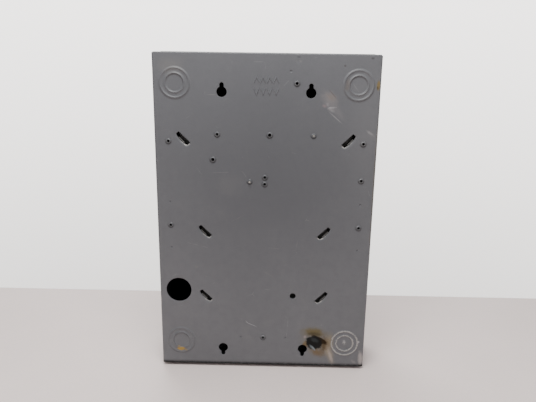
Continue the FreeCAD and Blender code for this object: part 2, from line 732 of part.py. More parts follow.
def bus_bar(sign, phase, label):
    """One hot bus bar: a strip, a finger and a stab for every second row, and the riser to the main."""
    inner, outer = S["bus_inner"], S["bus_outer"]
    low, high = row_z(0) - S["strap_width"] / 2, S["main_low_z"] + 13
    parts = [block(side(sign, inner, outer), deep(BASE_TOP, BUS_TOP), (low, high))]
    for row in range(phase, int(S["rows"].value), 2):
        z = row_z(row)
        finger = (size(-4), outer) if sign > 0 else (-outer, size(4))
        parts.append(block(finger, deep(BASE_TOP, BUS_TOP), about(z, S["strap_width"] / 2)))
        parts.append(block(about(0, S["stab_half"]), deep(BUS_TOP - 0.5, BUS_TOP + S["stab_height"]),
                           about(z, S["stab_thick"] / 2)))
    hole = rod("y", fit(S["bus_bolt_radius"]), deep(BASE_TOP - 1, BUS_TOP + 1), (bolt_x(sign), bolt_z()))
    return node(cut(fuse(*parts), hole, name="bus"), label)


def bolt_z():
    """The height of the bolts that join the bus bars to the main breaker."""
    return S["main_low_z"] + 7


def bolt_x(sign):
    """The place of a bus bolt."""
    return (S["bus_inner"] + S["bus_outer"]) / 2 * sign


def bus_bolts():
    """The bolts through the main breaker's load straps and the bus bars."""
    made = []
    for sx in (-1, 1):
        made.append(slotted_screw(bolt_x(sx), bolt_z(), BUS_TOP + S["strap_thick"] + 0.1, BASE_TOP + 0.4,
                                  S["bus_bolt_radius"], 3.6, 3.0))
    return node(group(*made, name="bus_bolts"), "bus_bolts")


def neutral_screw_heights():
    """The heights of the clamp screws in a neutral bar."""
    low = neutral_low() + S["neutral_pitch"]
    room = S["base_wing_top"].value - low.value - S["neutral_pitch"].value / 2
    count = int(room // S["neutral_pitch"].value) + 1
    return [low + S["neutral_pitch"] * i for i in range(count)]


def neutral_parts():
    """Two bars, the strap that joins them, their clamp screws, the main lug and the bonding screw."""
    foot = BASE_TOP + S["strap_thick"]
    top = foot + S["neutral_height"]
    middle = foot + S["neutral_height"] * 0.42
    low, high = neutral_low(), S["base_wing_top"]
    heights = neutral_screw_heights()
    screws = []
    for sx, label in ((-1, "neutral_bar_left"), (1, "neutral_bar_right")):
        x = S["neutral_x"] * sx
        bar = block(about(x, S["neutral_width"] / 2), deep(foot, top), (low, high))
        holes = []
        for z in heights:
            holes.append(rod("x", S["wire_hole_radius"] * 0.8, about(x, S["neutral_width"]), (-middle, z)))
            holes.append(rod("y", fit(S["neutral_screw_radius"]), deep(middle, top + 1), (x, z)))
            head = slotted_screw(x, z, top + 0.6, middle + S["wire_hole_radius"] * 0.9,
                                 S["neutral_screw_radius"], 3.4, 2.0)
            screws.append(head)
        node(cut(bar, *holes, name="neutral_bar"), label)
    node(group(*screws, name="neutral_screws"), "neutral_bar_screws")
    strap_z = (low - 1 - S["strap_width"], low - 1)
    reach = S["neutral_x"] + S["neutral_width"] / 2
    strap = [block(about(0, reach), deep(BASE_TOP + 0.1, foot), strap_z)]
    for sx in (-1, 1):
        strap.append(block(about(S["neutral_x"] * sx, S["neutral_width"] / 2), deep(BASE_TOP + 0.1, foot),
                           (strap_z[0], low - 0.1)))
        strap.append(block(about(S["neutral_x"] * sx, S["neutral_width"] / 2), deep(foot - 1, top),
                           (low - 1 - S["strap_thick"], low - 0.1)))
    bond = rod("y", fit(S["mount_screw_radius"]), deep(PLATE, foot + 1), (bond_x(), bond_z()))
    node(cut(fuse(*strap), bond, name="strap"), "neutral_strap")
    node(slotted_screw(bond_x(), bond_z(), foot + 0.05, S["pan_depth"] - 2,
                       S["mount_screw_radius"], 4.4, 2.6), "bonding_screw")
    lug_z = (high + 0.3, high + 0.3 + S["lug_length"])
    x = -S["neutral_x"]
    deep_lug = (foot, foot + S["lug_height"])
    lug = lug_block(x, lug_z, deep_lug)
    tang = block(about(x, S["neutral_width"] / 2), deep(foot - S["strap_thick"], foot + 0.5),
                 (high + 0.3, lug_z[1]))
    node(fuse(lug, tang, name="lug"), "neutral_lug")
    node(lug_screw(x, lug_z, deep_lug), "neutral_lug_screw")


def bond_x():
    """The place of the bonding screw along the neutral strap."""
    return S["neutral_x"] - 36


def bond_z():
    """The height of the bonding screw."""
    return neutral_low() - 1 - S["strap_width"] / 2


def lug_block(x, z_range, depths):
    """A lug with a round wire bore along Z and a threaded hole in its front."""
    middle = (depths[0] + depths[1]) / 2
    body = block(about(x, S["lug_width"] / 2), deep(*depths), z_range)
    bore = rod("z", S["lug_bore_radius"], (z_range[0] - 1, z_range[1] + 1), (x, -middle))
    thread = rod("y", fit(S["lug_screw_radius"]), deep(middle, depths[1] + 1),
                 (x, (z_range[0] + z_range[1]) / 2))
    eased = ease(cut(body, bore, thread), 1.2, lambda e: runs_along(e, "z"))
    return eased


def lug_screw(x, z_range, depths):
    """A socket set screw that stands a little out of its lug."""
    middle = (depths[0] + depths[1]) / 2
    z = (z_range[0] + z_range[1]) / 2
    top = depths[1] + 4
    body = rod("y", S["lug_screw_radius"], deep(middle + S["lug_bore_radius"] + 0.2, top), (x, z))
    hexagon = doc.addObject("Part::Prism", fresh("socket"))
    hexagon.Polygon = 6
    bind(hexagon, "Circumradius", S["lug_screw_radius"] * 0.62)
    hexagon.Height = 6
    stand(hexagon, "y", -top - 1, (x, z))
    return cut(body, hexagon)


# ---------------------------------------------------------------- breakers

def toggle_solid(axis, pivot, half, tilt, trunnion=None):
    """A breaker handle: a round drum on the pivot, with a tapered lever that leans by tilt degrees.

    pivot is (x, z) for a handle that turns about Z (axis "z") or about X (axis "x"); half is half of
    its width along the axis.
    """
    x, z = size(pivot[0]), size(pivot[1])
    reach = S["toggle_sink"] + S["toggle_reach"]
    root, tip, foot = S["toggle_root"], S["toggle_tip"], S["drum_radius"] * 0.5
    angle = math.radians(tilt)
    c, s = math.cos(angle), math.sin(angle)
    corners = [(-root, foot), (root, foot), (tip, reach), (-tip, reach)]
    turned = [(u * c + v * s, v * c - u * s) for u, v in corners]
    depth = PIVOT_DEPTH if axis == "z" else S["main_pivot_depth"]
    outline = Outline("lever")
    if axis == "z":
        outline.sketch.Placement = FreeCAD.Placement(FreeCAD.Vector(), FreeCAD.Rotation())
        points = [(x + u, -(depth + v)) for u, v in turned]
        drum = rod("z", S["drum_radius"], about(z, half), (x, -depth))
        direction, start = FreeCAD.Vector(0, 0, 1), z - half
        prop = "Placement.Base.z"
    else:
        axes = [FreeCAD.Vector(0, 1, 0), FreeCAD.Vector(0, 0, 1), FreeCAD.Vector(1, 0, 0)]
        turn = FreeCAD.Rotation(*axes, "XYZ")
        outline.sketch.Placement = FreeCAD.Placement(FreeCAD.Vector(), turn)
        points = [(-(depth + v), z + u) for u, v in turned]
        drum = rod("x", S["drum_radius"], about(x, half), (-depth, z))
        direction, start = FreeCAD.Vector(1, 0, 0), x - half
        prop = "Placement.Base.x"
    outline.polygon(points)
    bind(outline.sketch, prop, start)
    lever = doc.addObject("Part::Extrusion", fresh("lever"))
    lever.Base = outline.sketch
    lever.DirMode = "Custom"
    lever.Dir = direction
    lever.Solid = True
    bind(lever, "LengthFwd", size(half) * 2)
    parts = [drum, lever]
    if trunnion is not None:
        parts.append(rod(axis, S["trunnion_radius"], about(x if axis == "x" else z, trunnion),
                         (-depth, z) if axis == "x" else (x, -depth)))
    joined = fuse(*parts, name="toggle")
    far = reach.value + depth.value

    def tip_edge(edge):
        low = min(v.Point.y for v in edge.Vertexes)
        high = max(v.Point.y for v in edge.Vertexes)
        return isinstance(edge.Curve, Part.Line) and low < -far + 4 and high < -depth.value - 14
    return ease(joined, 1.0, tip_edge)


def branch_case(sign, low_row, poles, label):
    """A plug-on branch breaker's case, with its nose, drum slots, stab slots, wire holes and screw wells."""
    inner, outer = S["case_inner"], S["case_inner"] + S["case_length"]
    z0, z1 = row_edge(low_row) + S["case_gap"], row_edge(low_row + poles) - S["case_gap"]
    ease_radius = S["case_ease"]
    body = ease(block(side(sign, inner, outer), deep(CASE_BACK, CASE_FRONT), (z0, z1)), ease_radius,
                lambda e: runs_along(e, "x") or runs_along(e, "z"))
    nose_x = side(sign, inner + S["nose_start"], inner + S["nose_start"] + S["nose_length"])
    nose = ease(block(nose_x, deep(CASE_FRONT - 3, NOSE_FRONT), (z0 + 2.2, z1 - 2.2)), ease_radius * 1.4,
                lambda e: near(e.CenterOfMass.y, -NOSE_FRONT) or runs_along(e, "y"))
    taken = [block(side(sign, outer - S["shoulder_length"], outer + 1),
                   deep(CASE_FRONT - S["shoulder"], CASE_FRONT + 1), (z0 - 1, z1 + 1))]
    drum = S["drum_radius"] + S["play"]
    for pole in range(poles):
        z = row_z(low_row + pole)
        well = about(z, S["toggle_half"] + S["play"])
        x = S["toggle_x"]
        taken.append(block(side(sign, x - drum, x + drum), deep(PIVOT_DEPTH, NOSE_FRONT + 1), well))
        taken.append(rod("z", drum, well, (x * sign, -PIVOT_DEPTH)))
        taken.append(block(side(sign, inner - 1, S["stab_half"] + 2),
                           deep(CASE_BACK - 1, BUS_TOP + S["stab_height"] + 3), about(z, 4.2)))
        wire_depth = CASE_FRONT - S["shoulder"] - 9
        screw_x = (outer - S["shoulder_length"] / 2) * sign
        taken.append(rod("x", S["wire_hole_radius"], side(sign, outer - S["shoulder_length"], outer + 1),
                         (-wire_depth, z)))
        taken.append(rod("y", S["terminal_screw_radius"] + 0.6, deep(wire_depth, CASE_FRONT), (screw_x, z)))
    return node(cut(fuse(body, nose), *taken, name="case"), label)


def branch_toggle(sign, low_row, poles, label):
    """The handle of a branch breaker, or two handles joined by a tie bar."""
    x = S["toggle_x"] * sign
    tilt = -S["toggle_tilt"].value * sign
    parts = [toggle_solid("z", (x, row_z(low_row + pole)), S["toggle_half"], tilt) for pole in range(poles)]
    if poles == 1:
        return node(parts[0], label)
    angle = math.radians(S["toggle_tilt"].value)
    far = S["toggle_sink"] + S["toggle_reach"] - 3.5
    tie_x = (S["toggle_x"] - far * math.sin(angle)) * sign
    tie_depth = PIVOT_DEPTH + far * math.cos(angle)
    tie = block(about(tie_x, 2.6), deep(tie_depth - 2.2, tie_depth + 2.2),
                (row_z(low_row), row_z(low_row + poles - 1)))
    return node(fuse(*parts, tie, name="tied"), label)


SINGLES = [(-1, 0), (-1, 1), (-1, 2), (-1, 5), (1, 0), (1, 3), (1, 4), (1, 5)]
DOUBLES = [(-1, 3), (1, 1)]
BLANKS = [(-1, 6), (-1, 7), (1, 6), (1, 7)]


def pole_places():
    """Side and row of every breaker pole."""
    return SINGLES + [(sign, row + pole) for sign, row in DOUBLES for pole in (0, 1)]


def branch_breakers():
    """Every branch breaker, the filler plates, the jaws on the stabs and the wire screws."""
    for n, (sign, row) in enumerate(SINGLES, 1):
        branch_case(sign, row, 1, f"branch_case_{n}")
        branch_toggle(sign, row, 1, f"branch_toggle_{n}")
    for n, (sign, row) in enumerate(DOUBLES, 1):
        branch_case(sign, row, 2, f"double_case_{n}")
        branch_toggle(sign, row, 2, f"double_toggle_{n}")
    jaws, screws = [], []
    outer = S["case_inner"] + S["case_length"]
    wire_depth = CASE_FRONT - S["shoulder"] - 9
    thin = 0.8
    for sign, row in pole_places():
        z = row_z(row)
        reach = side(sign, S["case_inner"] + 1, S["stab_half"] + 1)
        low = BUS_TOP + 2
        high = BUS_TOP + S["stab_height"] + 2
        grip = S["stab_thick"] / 2 + 0.1
        jaw = fuse(
            block(reach, deep(low, high), (z + grip, z + grip + thin)),
            block(reach, deep(low, high), (z - grip - thin, z - grip)),
            block(reach, deep(high - thin, high), (z - grip - thin, z + grip + thin)),
        )
        jaws.append(jaw)
        screw_x = (outer - S["shoulder_length"] / 2) * sign
        seat = CASE_FRONT - S["shoulder"] - 4
        screws.append(slotted_screw(screw_x, z, seat, wire_depth + S["wire_hole_radius"] * 0.3,
                                    S["terminal_screw_radius"] * 0.6, S["terminal_screw_radius"], 2.6))
    node(group(*jaws, name="jaws"), "branch_stab_jaws")
    node(group(*screws, name="terminal_screws"), "branch_terminal_screws")
    plates = []
    for sign, row in BLANKS:
        z0, z1 = row_edge(row) + S["case_gap"], row_edge(row + 1) - S["case_gap"]
        inner = S["case_inner"] + S["nose_start"]
        outer_x = inner + S["nose_length"]
        front = block(side(sign, inner, outer_x), deep(CASE_FRONT - 3, TRAY_FRONT + 1), (z0 + 2.2, z1 - 2.2))
        skirt = block(side(sign, inner - 3, outer_x + 3), deep(CASE_FRONT - 3, TRAY_BACK - 0.2), (z0, z1))
        hollow = block(side(sign, inner + 2, outer_x - 2), deep(CASE_FRONT - 4, TRAY_FRONT - 1),
                       (z0 + 4.2, z1 - 4.2))
        plates.append(cut(fuse(front, skirt), hollow))
    node(group(*plates, name="fillers"), "filler_plates")


# ---------------------------------------------------------------- main breaker

def main_breaker_base():
    """The rear shell of the main breaker, with a wall between its poles."""
    w, wall = S["main_half_width"], S["main_wall"]
    z0, z1 = S["main_low_z"], S["main_top_z"]
    back, split = PLATE + 0.1, S["main_split"]
    shell = ease(block(about(0, w), deep(back, split), (z0, z1)), 1.5, lambda e: runs_along(e, "y"))
    taken = []
    for sx in (-1, 1):
        room = side(sx, wall / 2, w - wall)
        taken.append(block(room, deep(back + wall, split + 1), (z0 + wall, z1 - wall)))
        taken.append(rod("z", S["lug_bore_radius"] + 1, (z1 - wall - 1, z1 + 1),
                         (S["pole_x"] * sx, -lug_depth())))
        taken.append(block(side(sx, S["bus_inner"] - 0.5, S["bus_outer"] + 0.5),
                           deep(back - 1, BUS_TOP + 0.5), (z0 - 1, z0 + wall + 1)))
        taken.append(block(side(sx, S["bus_inner"] - 0.5, S["bus_outer"] + 0.5),
                           deep(back + wall - 1, back + wall + 1), (z0 + wall, z0 + 14)))
    taken.append(rod("y", 5, deep(back - 1, back + wall + 1), (S["pan_screw_x"], S["pan_screw_z"])))
    pivot_z, pivot = S["arm_pivot_z"], S["arm_pivot_depth"]
    taken.append(rod("x", fit(S["journal_radius"]), about(0, w - 0.9), (-pivot, pivot_z)))
    bar = S["crossbar_radius"] + 1
    taken.append(block(about(0, wall), deep(pivot - bar, split + 1), about(pivot_z, bar)))
    return node(cut(shell, *taken, name="main_base"), "main_breaker_base")


def lug_depth():
    """The depth of the wire bores in the line lugs."""
    return S["arm_pivot_depth"] + 2


def main_breaker_cover():
    """The front shell of the main breaker, with its nose, the drum slot and the lug screw wells."""
    w, wall = S["main_half_width"], S["main_wall"]
    z0, z1 = S["main_low_z"], S["main_top_z"]
    split, front = S["main_split"] + 0.05, S["main_front"]
    pivot_z, pivot = S["main_pivot_z"], S["main_pivot_depth"]
    drum = S["drum_radius"] + S["play"]
    shell = ease(block(about(0, w), deep(split, front), (z0, z1)), 1.5,
                 lambda e: runs_along(e, "y") or near(e.CenterOfMass.y, -front))
    nose_front = front + S["main_nose"]
    nose = ease(block(about(0, S["main_toggle_half"] + 8), deep(front - 1, nose_front),
                      about(pivot_z, drum + 8)), 1.5, lambda e: near(e.CenterOfMass.y, -nose_front))
    hollow = block(about(0, w - wall), deep(split - 1, front - wall), (z0 + wall, z1 - wall))
    cheeks = []
    for sx in (-1, 1):
        inner = S["main_toggle_half"] + S["play"]
        cheeks.append(block(side(sx, inner, inner + 3), deep(pivot - 9, front - wall + 0.5),
                            about(pivot_z, 8)))
    half = S["main_toggle_half"] + S["play"]
    taken = [
        block(about(0, half), deep(pivot, nose_front + 1), about(pivot_z, drum)),
        rod("x", fit(S["trunnion_radius"]), about(0, S["main_toggle_half"] + 4), (-pivot, pivot_z)),
    ]
    for sx in (-1, 1):
        taken.append(rod("y", S["lug_screw_radius"] + 1.5, deep(front - wall - 1, front + 1),
                         (S["pole_x"] * sx, lug_centre_z())))
    shape = fuse(cut(fuse(shell, nose), hollow), *cheeks)
    return node(cut(shape, *taken, name="main_cover"), "main_breaker_cover")


def lug_centre_z():
    """The height of the middle of the line lugs."""
    return S["main_top_z"] - S["main_wall"] - 1.5 - S["lug_length"] / 2


def main_internals():
    """Line lugs with fixed contacts, moving contact arms, load straps with bimetals, and arc chutes."""
    middle = lug_depth()
    half = S["lug_height"] / 2
    z = about(lug_centre_z(), S["lug_length"] / 2)
    contact = S["contact_depth"]
    tip_z = S["arm_pivot_z"] + S["arm_reach"]
    lines, screws, loads, chutes = [], [], [], []
    for sx in (-1, 1):
        x = S["pole_x"] * sx
        lug = lug_block(x, z, (middle - half, middle + half))
        strap = block(about(x, 6), deep(contact - 3.5, contact - 1.5), (tip_z - 5, z[0] + 1))
        foot = block(about(x, 6), deep(contact - 3.5, middle - half + 1), (z[0] + 0.2, z[0] + 3))
        pad = rod("y", 3.5, deep(contact - 2, contact), (x, tip_z - 1))
        lines.append(fuse(lug, strap, foot, pad))
        screws.append(lug_screw(x, z, (middle - half, middle + half)))
        strap_z = (S["main_low_z"] + S["main_wall"] + 0.5, bolt_z() + 6)
        load = block(side(sx, S["bus_inner"], S["bus_outer"]),
                     deep(BUS_TOP + 0.1, BUS_TOP + S["strap_thick"]), strap_z)
        bolt = rod("y", fit(S["bus_bolt_radius"]), deep(BUS_TOP, BUS_TOP + 3), (bolt_x(sx), bolt_z()))
        bimetal = block(side(sx, S["bus_outer"] - 1.2, S["bus_outer"]),
                        deep(BUS_TOP + 1, S["main_split"] + 12), (bolt_z() - 3, bolt_z() + 3))
        loads.append(fuse(cut(load, bolt), bimetal))
        sides = [block(about(x + 7.4 * k, 0.6), deep(contact + 2, S["main_split"] + 4),
                       (tip_z + 4.5, z[0] - 0.6)) for k in (-1, 1)]
        plates = [block(about(x, 7), deep(contact + 4 + 3.5 * n, contact + 5 + 3.5 * n),
                        (tip_z + 5, z[0] - 1)) for n in range(6)]
        chutes.append(fuse(*sides, *plates))
    node(group(*lines, name="line_terminals"), "main_line_terminals")
    node(group(*screws, name="line_screws"), "main_lug_screws")
    node(group(*loads, name="load_straps"), "main_load_straps")
    node(group(*chutes, name="arc_chutes"), "main_arc_chutes")
    main_contact_arms(contact, tip_z)


def main_contact_arms(contact, tip_z):
    """The insulated crossbar with one contact arm on each pole."""
    pivot_depth, pivot_z = S["arm_pivot_depth"], S["arm_pivot_z"]
    reach = S["main_half_width"] - S["main_wall"] - 1.5
    parts = [
        rod("x", S["crossbar_radius"], about(0, reach), (-pivot_depth, pivot_z)),
        rod("x", S["journal_radius"], about(0, S["main_half_width"] - 1), (-pivot_depth, pivot_z)),
    ]
    for sx in (-1, 1):
        x = S["pole_x"] * sx
        parts.append(block(about(x, S["arm_half"]), deep(contact + 1.5, contact + 4.5),
                           (pivot_z - 1, tip_z + 2)))
        parts.append(block(about(x, S["arm_half"]), deep(contact + 1.5, pivot_depth), about(pivot_z, 3)))
        parts.append(rod("y", 3, deep(contact + 0.1, contact + 2), (x, tip_z - 1)))
    return node(fuse(*parts, name="arms"), "main_contact_arms")


def main_breaker():
    """The main breaker: shells, handle and what works inside."""
    main_breaker_base()
    main_breaker_cover()
    handle = toggle_solid("x", (0, S["main_pivot_z"]), S["main_toggle_half"], S["toggle_tilt"].value,
                          S["main_toggle_half"] + S["play"] + 2.6)
    node(handle, "main_breaker_handle")
    main_internals()


# ---------------------------------------------------------------- front

def deadfront():
    """The recessed tray behind the door, with an opening for each row of breakers and for the main."""
    w, low, high = S["window_half"], S["window_low_z"], S["window_top_z"]
    body = doc.addObject("PartDesign::Body", "tray_body")
    flange = w + STEEL + S["tray_flange"]
    steps = [(about_x(w + STEEL), low - STEEL, high + STEEL, TRAY_BACK, DEPTH - 0.1)]
    steps.append((about_x(flange), low - STEEL - S["tray_flange"], high + STEEL + S["tray_flange"],
                  DEPTH - STEEL, DEPTH - 0.1))
    for index, (xs, z0, z1, back, front) in enumerate(steps):
        outline = Outline("tray_outline", body).polygon([(xs[0], z0), (xs[1], z0), (xs[1], z1), (xs[0], z1)])
        bind(outline.sketch, "AttachmentOffset.Base.z", back)
        pad = body.newObject("PartDesign::Pad", f"tray_pad_{index}")
        pad.Profile = outline.sketch
        bind(pad, "Length", front - back)
        doc.recompute()
    inside = Outline("tray_inside", body).polygon([(-w, low), (w, low), (w, high), (-w, high)])
    bind(inside.sketch, "AttachmentOffset.Base.z", TRAY_FRONT)
    pocket = body.newObject("PartDesign::Pocket", "tray_pocket")
    pocket.Profile = inside.sketch
    pocket.Reversed = True
    bind(pocket, "Length", DEPTH)
    doc.recompute()
    gap = S["opening_gap"]
    openings = Outline("tray_openings", body)
    near_x = S["case_inner"] + S["nose_start"] - gap
    far_x = S["case_inner"] + S["nose_start"] + S["nose_length"] + gap
    z0, z1 = row_edge(0) + 2 - gap / 2, BRANCH_TOP - 2 + gap / 2
    for sx in (-1, 1):
        x0, x1 = side(sx, near_x, far_x)
        openings.polygon([(x0, z0), (x1, z0), (x1, z1), (x0, z1)])
    half, tall = S["main_toggle_half"] + 8 + gap, S["drum_radius"] + S["play"] + 8 + gap
    z = S["main_pivot_z"]
    openings.polygon([(-half, z - tall), (half, z - tall), (half, z + tall), (-half, z + tall)])
    bind(openings.sketch, "AttachmentOffset.Base.z", TRAY_BACK - 1)
    cutout = body.newObject("PartDesign::Pocket", "tray_cutouts")
    cutout.Profile = openings.sketch
    cutout.Reversed = True
    bind(cutout, "Length", STEEL + 2)
    doc.recompute()
    body.Tip = cutout
    taken = hinge_holes() + [
        block((w - 1, w + STEEL + S["latch_travel"]), deep(DOOR_BACK - 4.4, DOOR_BACK + 0.5),
              about(S["latch_z"], S["latch_half"] + S["play"])),
    ]
    return node(cut(body, *taken, name="tray"), "deadfront")


def about_x(half):
    """A symmetric X range as a pair."""
    return (-size(half), size(half))


def hinge_holes():
    """Holes in the tray's top and bottom walls for the hinge pins."""
    made = []
    for z in (S["window_low_z"], S["window_top_z"]):
        made.append(rod("z", fit(S["hinge_pin_radius"]), about(z, STEEL * 2), (HINGE_X, -HINGE_DEPTH)))
    return made


def front_cover():
    """The stamped cover: a face with the door window, and a lip round the enclosure's front edges."""
    body = doc.addObject("PartDesign::Body", "cover_body")
    x, z = HALF_W + S["cover_overhang"], HALF_H + S["cover_overhang"]
    outline = Outline("cover_outline", body).polygon([(-x, -z), (x, -z), (x, z), (-x, z)])
    bind(outline.sketch, "AttachmentOffset.Base.z", COVER_FRONT - S["cover_lip"])
    pad = body.newObject("PartDesign::Pad", "cover_pad")
    pad.Profile = outline.sketch
    bind(pad, "Length", S["cover_lip"])
    doc.recompute()
    corners = [f"Edge{i}" for i, e in enumerate(pad.Shape.Edges, 1) if runs_along(e, "y")]
    rounded = body.newObject("PartDesign::Fillet", "cover_corners")
    rounded.Base = (pad, corners)
    bind(rounded, "Radius", S["cover_corner"])
    doc.recompute()
    rim = [f"Edge{i}" for i, e in enumerate(rounded.Shape.Edges, 1) if near(e.CenterOfMass.y, -COVER_FRONT)]
    folded = body.newObject("PartDesign::Fillet", "cover_bend")
    folded.Base = (rounded, rim)
    bind(folded, "Radius", S["bend_radius"])
    doc.recompute()
    inner_x, inner_z = x - STEEL, z - STEEL
    inside = Outline("cover_inside", body)
    inside.polygon([(-inner_x, -inner_z), (inner_x, -inner_z), (inner_x, inner_z), (-inner_x, inner_z)])
    bind(inside.sketch, "AttachmentOffset.Base.z", DEPTH)
    pocket = body.newObject("PartDesign::Pocket", "cover_pocket")
    pocket.Profile = inside.sketch
    bind(pocket, "Length", S["cover_lip"] * 2)
    doc.recompute()
    window = Outline("cover_window", body)
    w, low, high = S["window_half"], S["window_low_z"], S["window_top_z"]
    window.polygon([(-w, low), (w, low), (w, high), (-w, high)])
    for sx in (-1, 1):
        for screw_z in cover_screw_heights():
            window.circle(((HALF_W - S["cover_screw_inset"]) * sx, screw_z), S["cover_screw_radius"] + 0.6)
    bind(window.sketch, "AttachmentOffset.Base.z", DEPTH - STEEL)
    opening = body.newObject("PartDesign::Pocket", "cover_opening")
    opening.Profile = window.sketch
    opening.Reversed = True
    bind(opening, "Length", STEEL * 3)
    body.Tip = opening
    doc.recompute()
    return node(body, "front_cover")


def cover_screws():
    """Six round-head screws through the cover into the wrap's flanges."""
    made = []
    for sx in (-1, 1):
        for z in cover_screw_heights():
            tip = COVER_FRONT - S["cover_screw_length"]
            made.append(slotted_screw((HALF_W - S["cover_screw_inset"]) * sx, z, COVER_FRONT + 0.05,
                                      tip, S["cover_screw_radius"], 4.2, 2.4))
    return node(group(*made, name="cover_screws"), "cover_screws")


def door_heights():
    """The lower and upper end of the door."""
    return S["window_low_z"] + S["door_gap"], S["window_top_z"] - S["door_gap"]


def door():
    """The stamped door: a pan with turned edges, a raised field and the slot for the latch."""
    body = doc.addObject("PartDesign::Body", "door_body")
    z0, z1 = door_heights()
    x0, x1 = DOOR_LEFT, DOOR_RIGHT
    sheet_t = S["door_sheet"]
    outline = Outline("door_outline", body).polygon([(x0, z0), (x1, z0), (x1, z1), (x0, z1)])
    bind(outline.sketch, "AttachmentOffset.Base.z", DOOR_FRONT - S["door_flange"])
    pad = body.newObject("PartDesign::Pad", "door_pad")
    pad.Profile = outline.sketch
    bind(pad, "Length", S["door_flange"])
    doc.recompute()
    edges = [f"Edge{i}" for i, e in enumerate(pad.Shape.Edges, 1)
             if near(e.CenterOfMass.y, -DOOR_FRONT) or runs_along(e, "y")]
    rounded = body.newObject("PartDesign::Fillet", "door_bend")
    rounded.Base = (pad, edges)
    bind(rounded, "Radius", sheet_t * 1.25)
    doc.recompute()
    inside = Outline("door_inside", body)
    inside.polygon([(x0 + sheet_t, z0 + sheet_t), (x1 - sheet_t, z0 + sheet_t),
                    (x1 - sheet_t, z1 - sheet_t), (x0 + sheet_t, z1 - sheet_t)])
    bind(inside.sketch, "AttachmentOffset.Base.z", DOOR_BACK)
    pocket = body.newObject("PartDesign::Pocket", "door_pocket")
    pocket.Profile = inside.sketch
    bind(pocket, "Length", DEPTH)
    body.Tip = pocket
    doc.recompute()
    frame, rib = size(14), size(3)
    field_x, field_z = (x0 + frame, x1 - frame), (z0 + frame, z1 - frame)
    groove = cut(
        block(field_x, deep(DOOR_FRONT - 0.4, DOOR_FRONT + 1), field_z),
        block((field_x[0] + rib, field_x[1] - rib), deep(DOOR_FRONT - 1, DOOR_FRONT + 2),
              (field_z[0] + rib, field_z[1] - rib)),
    )
    neck = latch_x()
    latch_z = S["latch_z"]
    taken = [
        groove,
        block((neck[0] - S["play"], neck[1] + S["latch_travel"] + S["play"]),
              deep(DOOR_BACK - 1, DOOR_FRONT + 1), about(latch_z, S["latch_half"] + S["play"])),
        block((x1 - sheet_t - 1, x1 + 1), deep(DOOR_BACK - 4, DOOR_BACK + 0.1),
              about(latch_z, S["latch_half"] + S["play"])),
    ]
    for z in (z0, z1):
        taken.append(rod("z", fit(S["hinge_pin_radius"]), about(z, sheet_t * 2), (HINGE_X, -HINGE_DEPTH)))
    return node(cut(body, *taken, name="door_cut"), "door")


def latch_x():
    """The X range of the latch's neck, where it passes through the door."""
    start = DOOR_RIGHT - 21
    return start, start + 6


def door_fittings():
    """Hinge pins, the slide latch, its retainer and the directory card."""
    z0, z1 = door_heights()
    t = S["door_sheet"]
    pins = [
        fuse(rod("z", S["hinge_pin_radius"], (z0 - S["door_gap"] - STEEL, z0 + 8), (HINGE_X, -HINGE_DEPTH)),
             rod("z", S["hinge_pin_radius"] + 0.9, (z0 + t + 0.1, z0 + t + 1.4), (HINGE_X, -HINGE_DEPTH))),
        fuse(rod("z", S["hinge_pin_radius"], (z1 - 8, z1 + S["door_gap"] + STEEL), (HINGE_X, -HINGE_DEPTH)),
             rod("z", S["hinge_pin_radius"] + 0.9, (z1 - t - 1.4, z1 - t - 0.1), (HINGE_X, -HINGE_DEPTH))),
    ]
    node(group(*pins, name="pins"), "door_hinge_pins")
    neck, z = latch_x(), S["latch_z"]
    plate = block((neck[0] - 8, DOOR_RIGHT - 6), deep(DOOR_BACK - 2.2, DOOR_BACK - 0.2),
                  about(z, S["latch_half"]))
    bolt = block((DOOR_RIGHT - 9, DOOR_RIGHT - 0.4), deep(DOOR_BACK - 3.6, DOOR_BACK - 1.4),
                 about(z, S["latch_half"] - 1))
    shank = block(neck, deep(DOOR_BACK - 1, DOOR_FRONT + 1), about(z, S["latch_half"] - 0.5))
    grip_top = DOOR_FRONT + S["grip_reach"]
    grip = ease(block((neck[0] - 3, neck[1] + 3), deep(DOOR_FRONT + 0.2, grip_top),
                      about(z, S["grip_half"])), 0.8, lambda e: near(e.CenterOfMass.y, -grip_top))
    ridges = [block((neck[0] - 1 + 3 * n, neck[0] + 3 * n), deep(grip_top - 0.5, grip_top + 1),
                    about(z, S["grip_half"] - 2)) for n in range(3)]
    node(cut(fuse(plate, bolt, shank, grip), *ridges, name="latch"), "door_latch")
    strap_x = (neck[0] - 6, neck[1] + 1)
    strap = block(strap_x, deep(DOOR_BACK - 3.8, DOOR_BACK - 2.6), about(z, S["latch_half"] + 7))
    feet = [block(strap_x, deep(DOOR_BACK - 3, DOOR_BACK - 0.05), about(z + (S["latch_half"] + 5) * k, 2))
            for k in (-1, 1)]
    node(fuse(strap, *feet, name="retainer"), "latch_retainer")
    card = block((DOOR_LEFT + 40, neck[0] - 16), deep(DOOR_BACK - S["card_thick"], DOOR_BACK - 0.02),
                 (z0 + 60, z1 - 60))
    node(card, "directory_card")


def build():
    """Makes every sub-part in the order it is assembled."""
    enclosure_wrap()
    end_wall(1, "top_end_wall")
    end_wall(-1, "bottom_end_wall")
    interior_pan()
    main_bracket()
    mounting_screws()
    insulating_base()
    bus_bar(-1, 0, "bus_bar_left")
    bus_bar(1, 1, "bus_bar_right")
    bus_bolts()
    neutral_parts()
    main_breaker()
    branch_breakers()
    deadfront()
    front_cover()
    cover_screws()
    door()
    door_fittings()


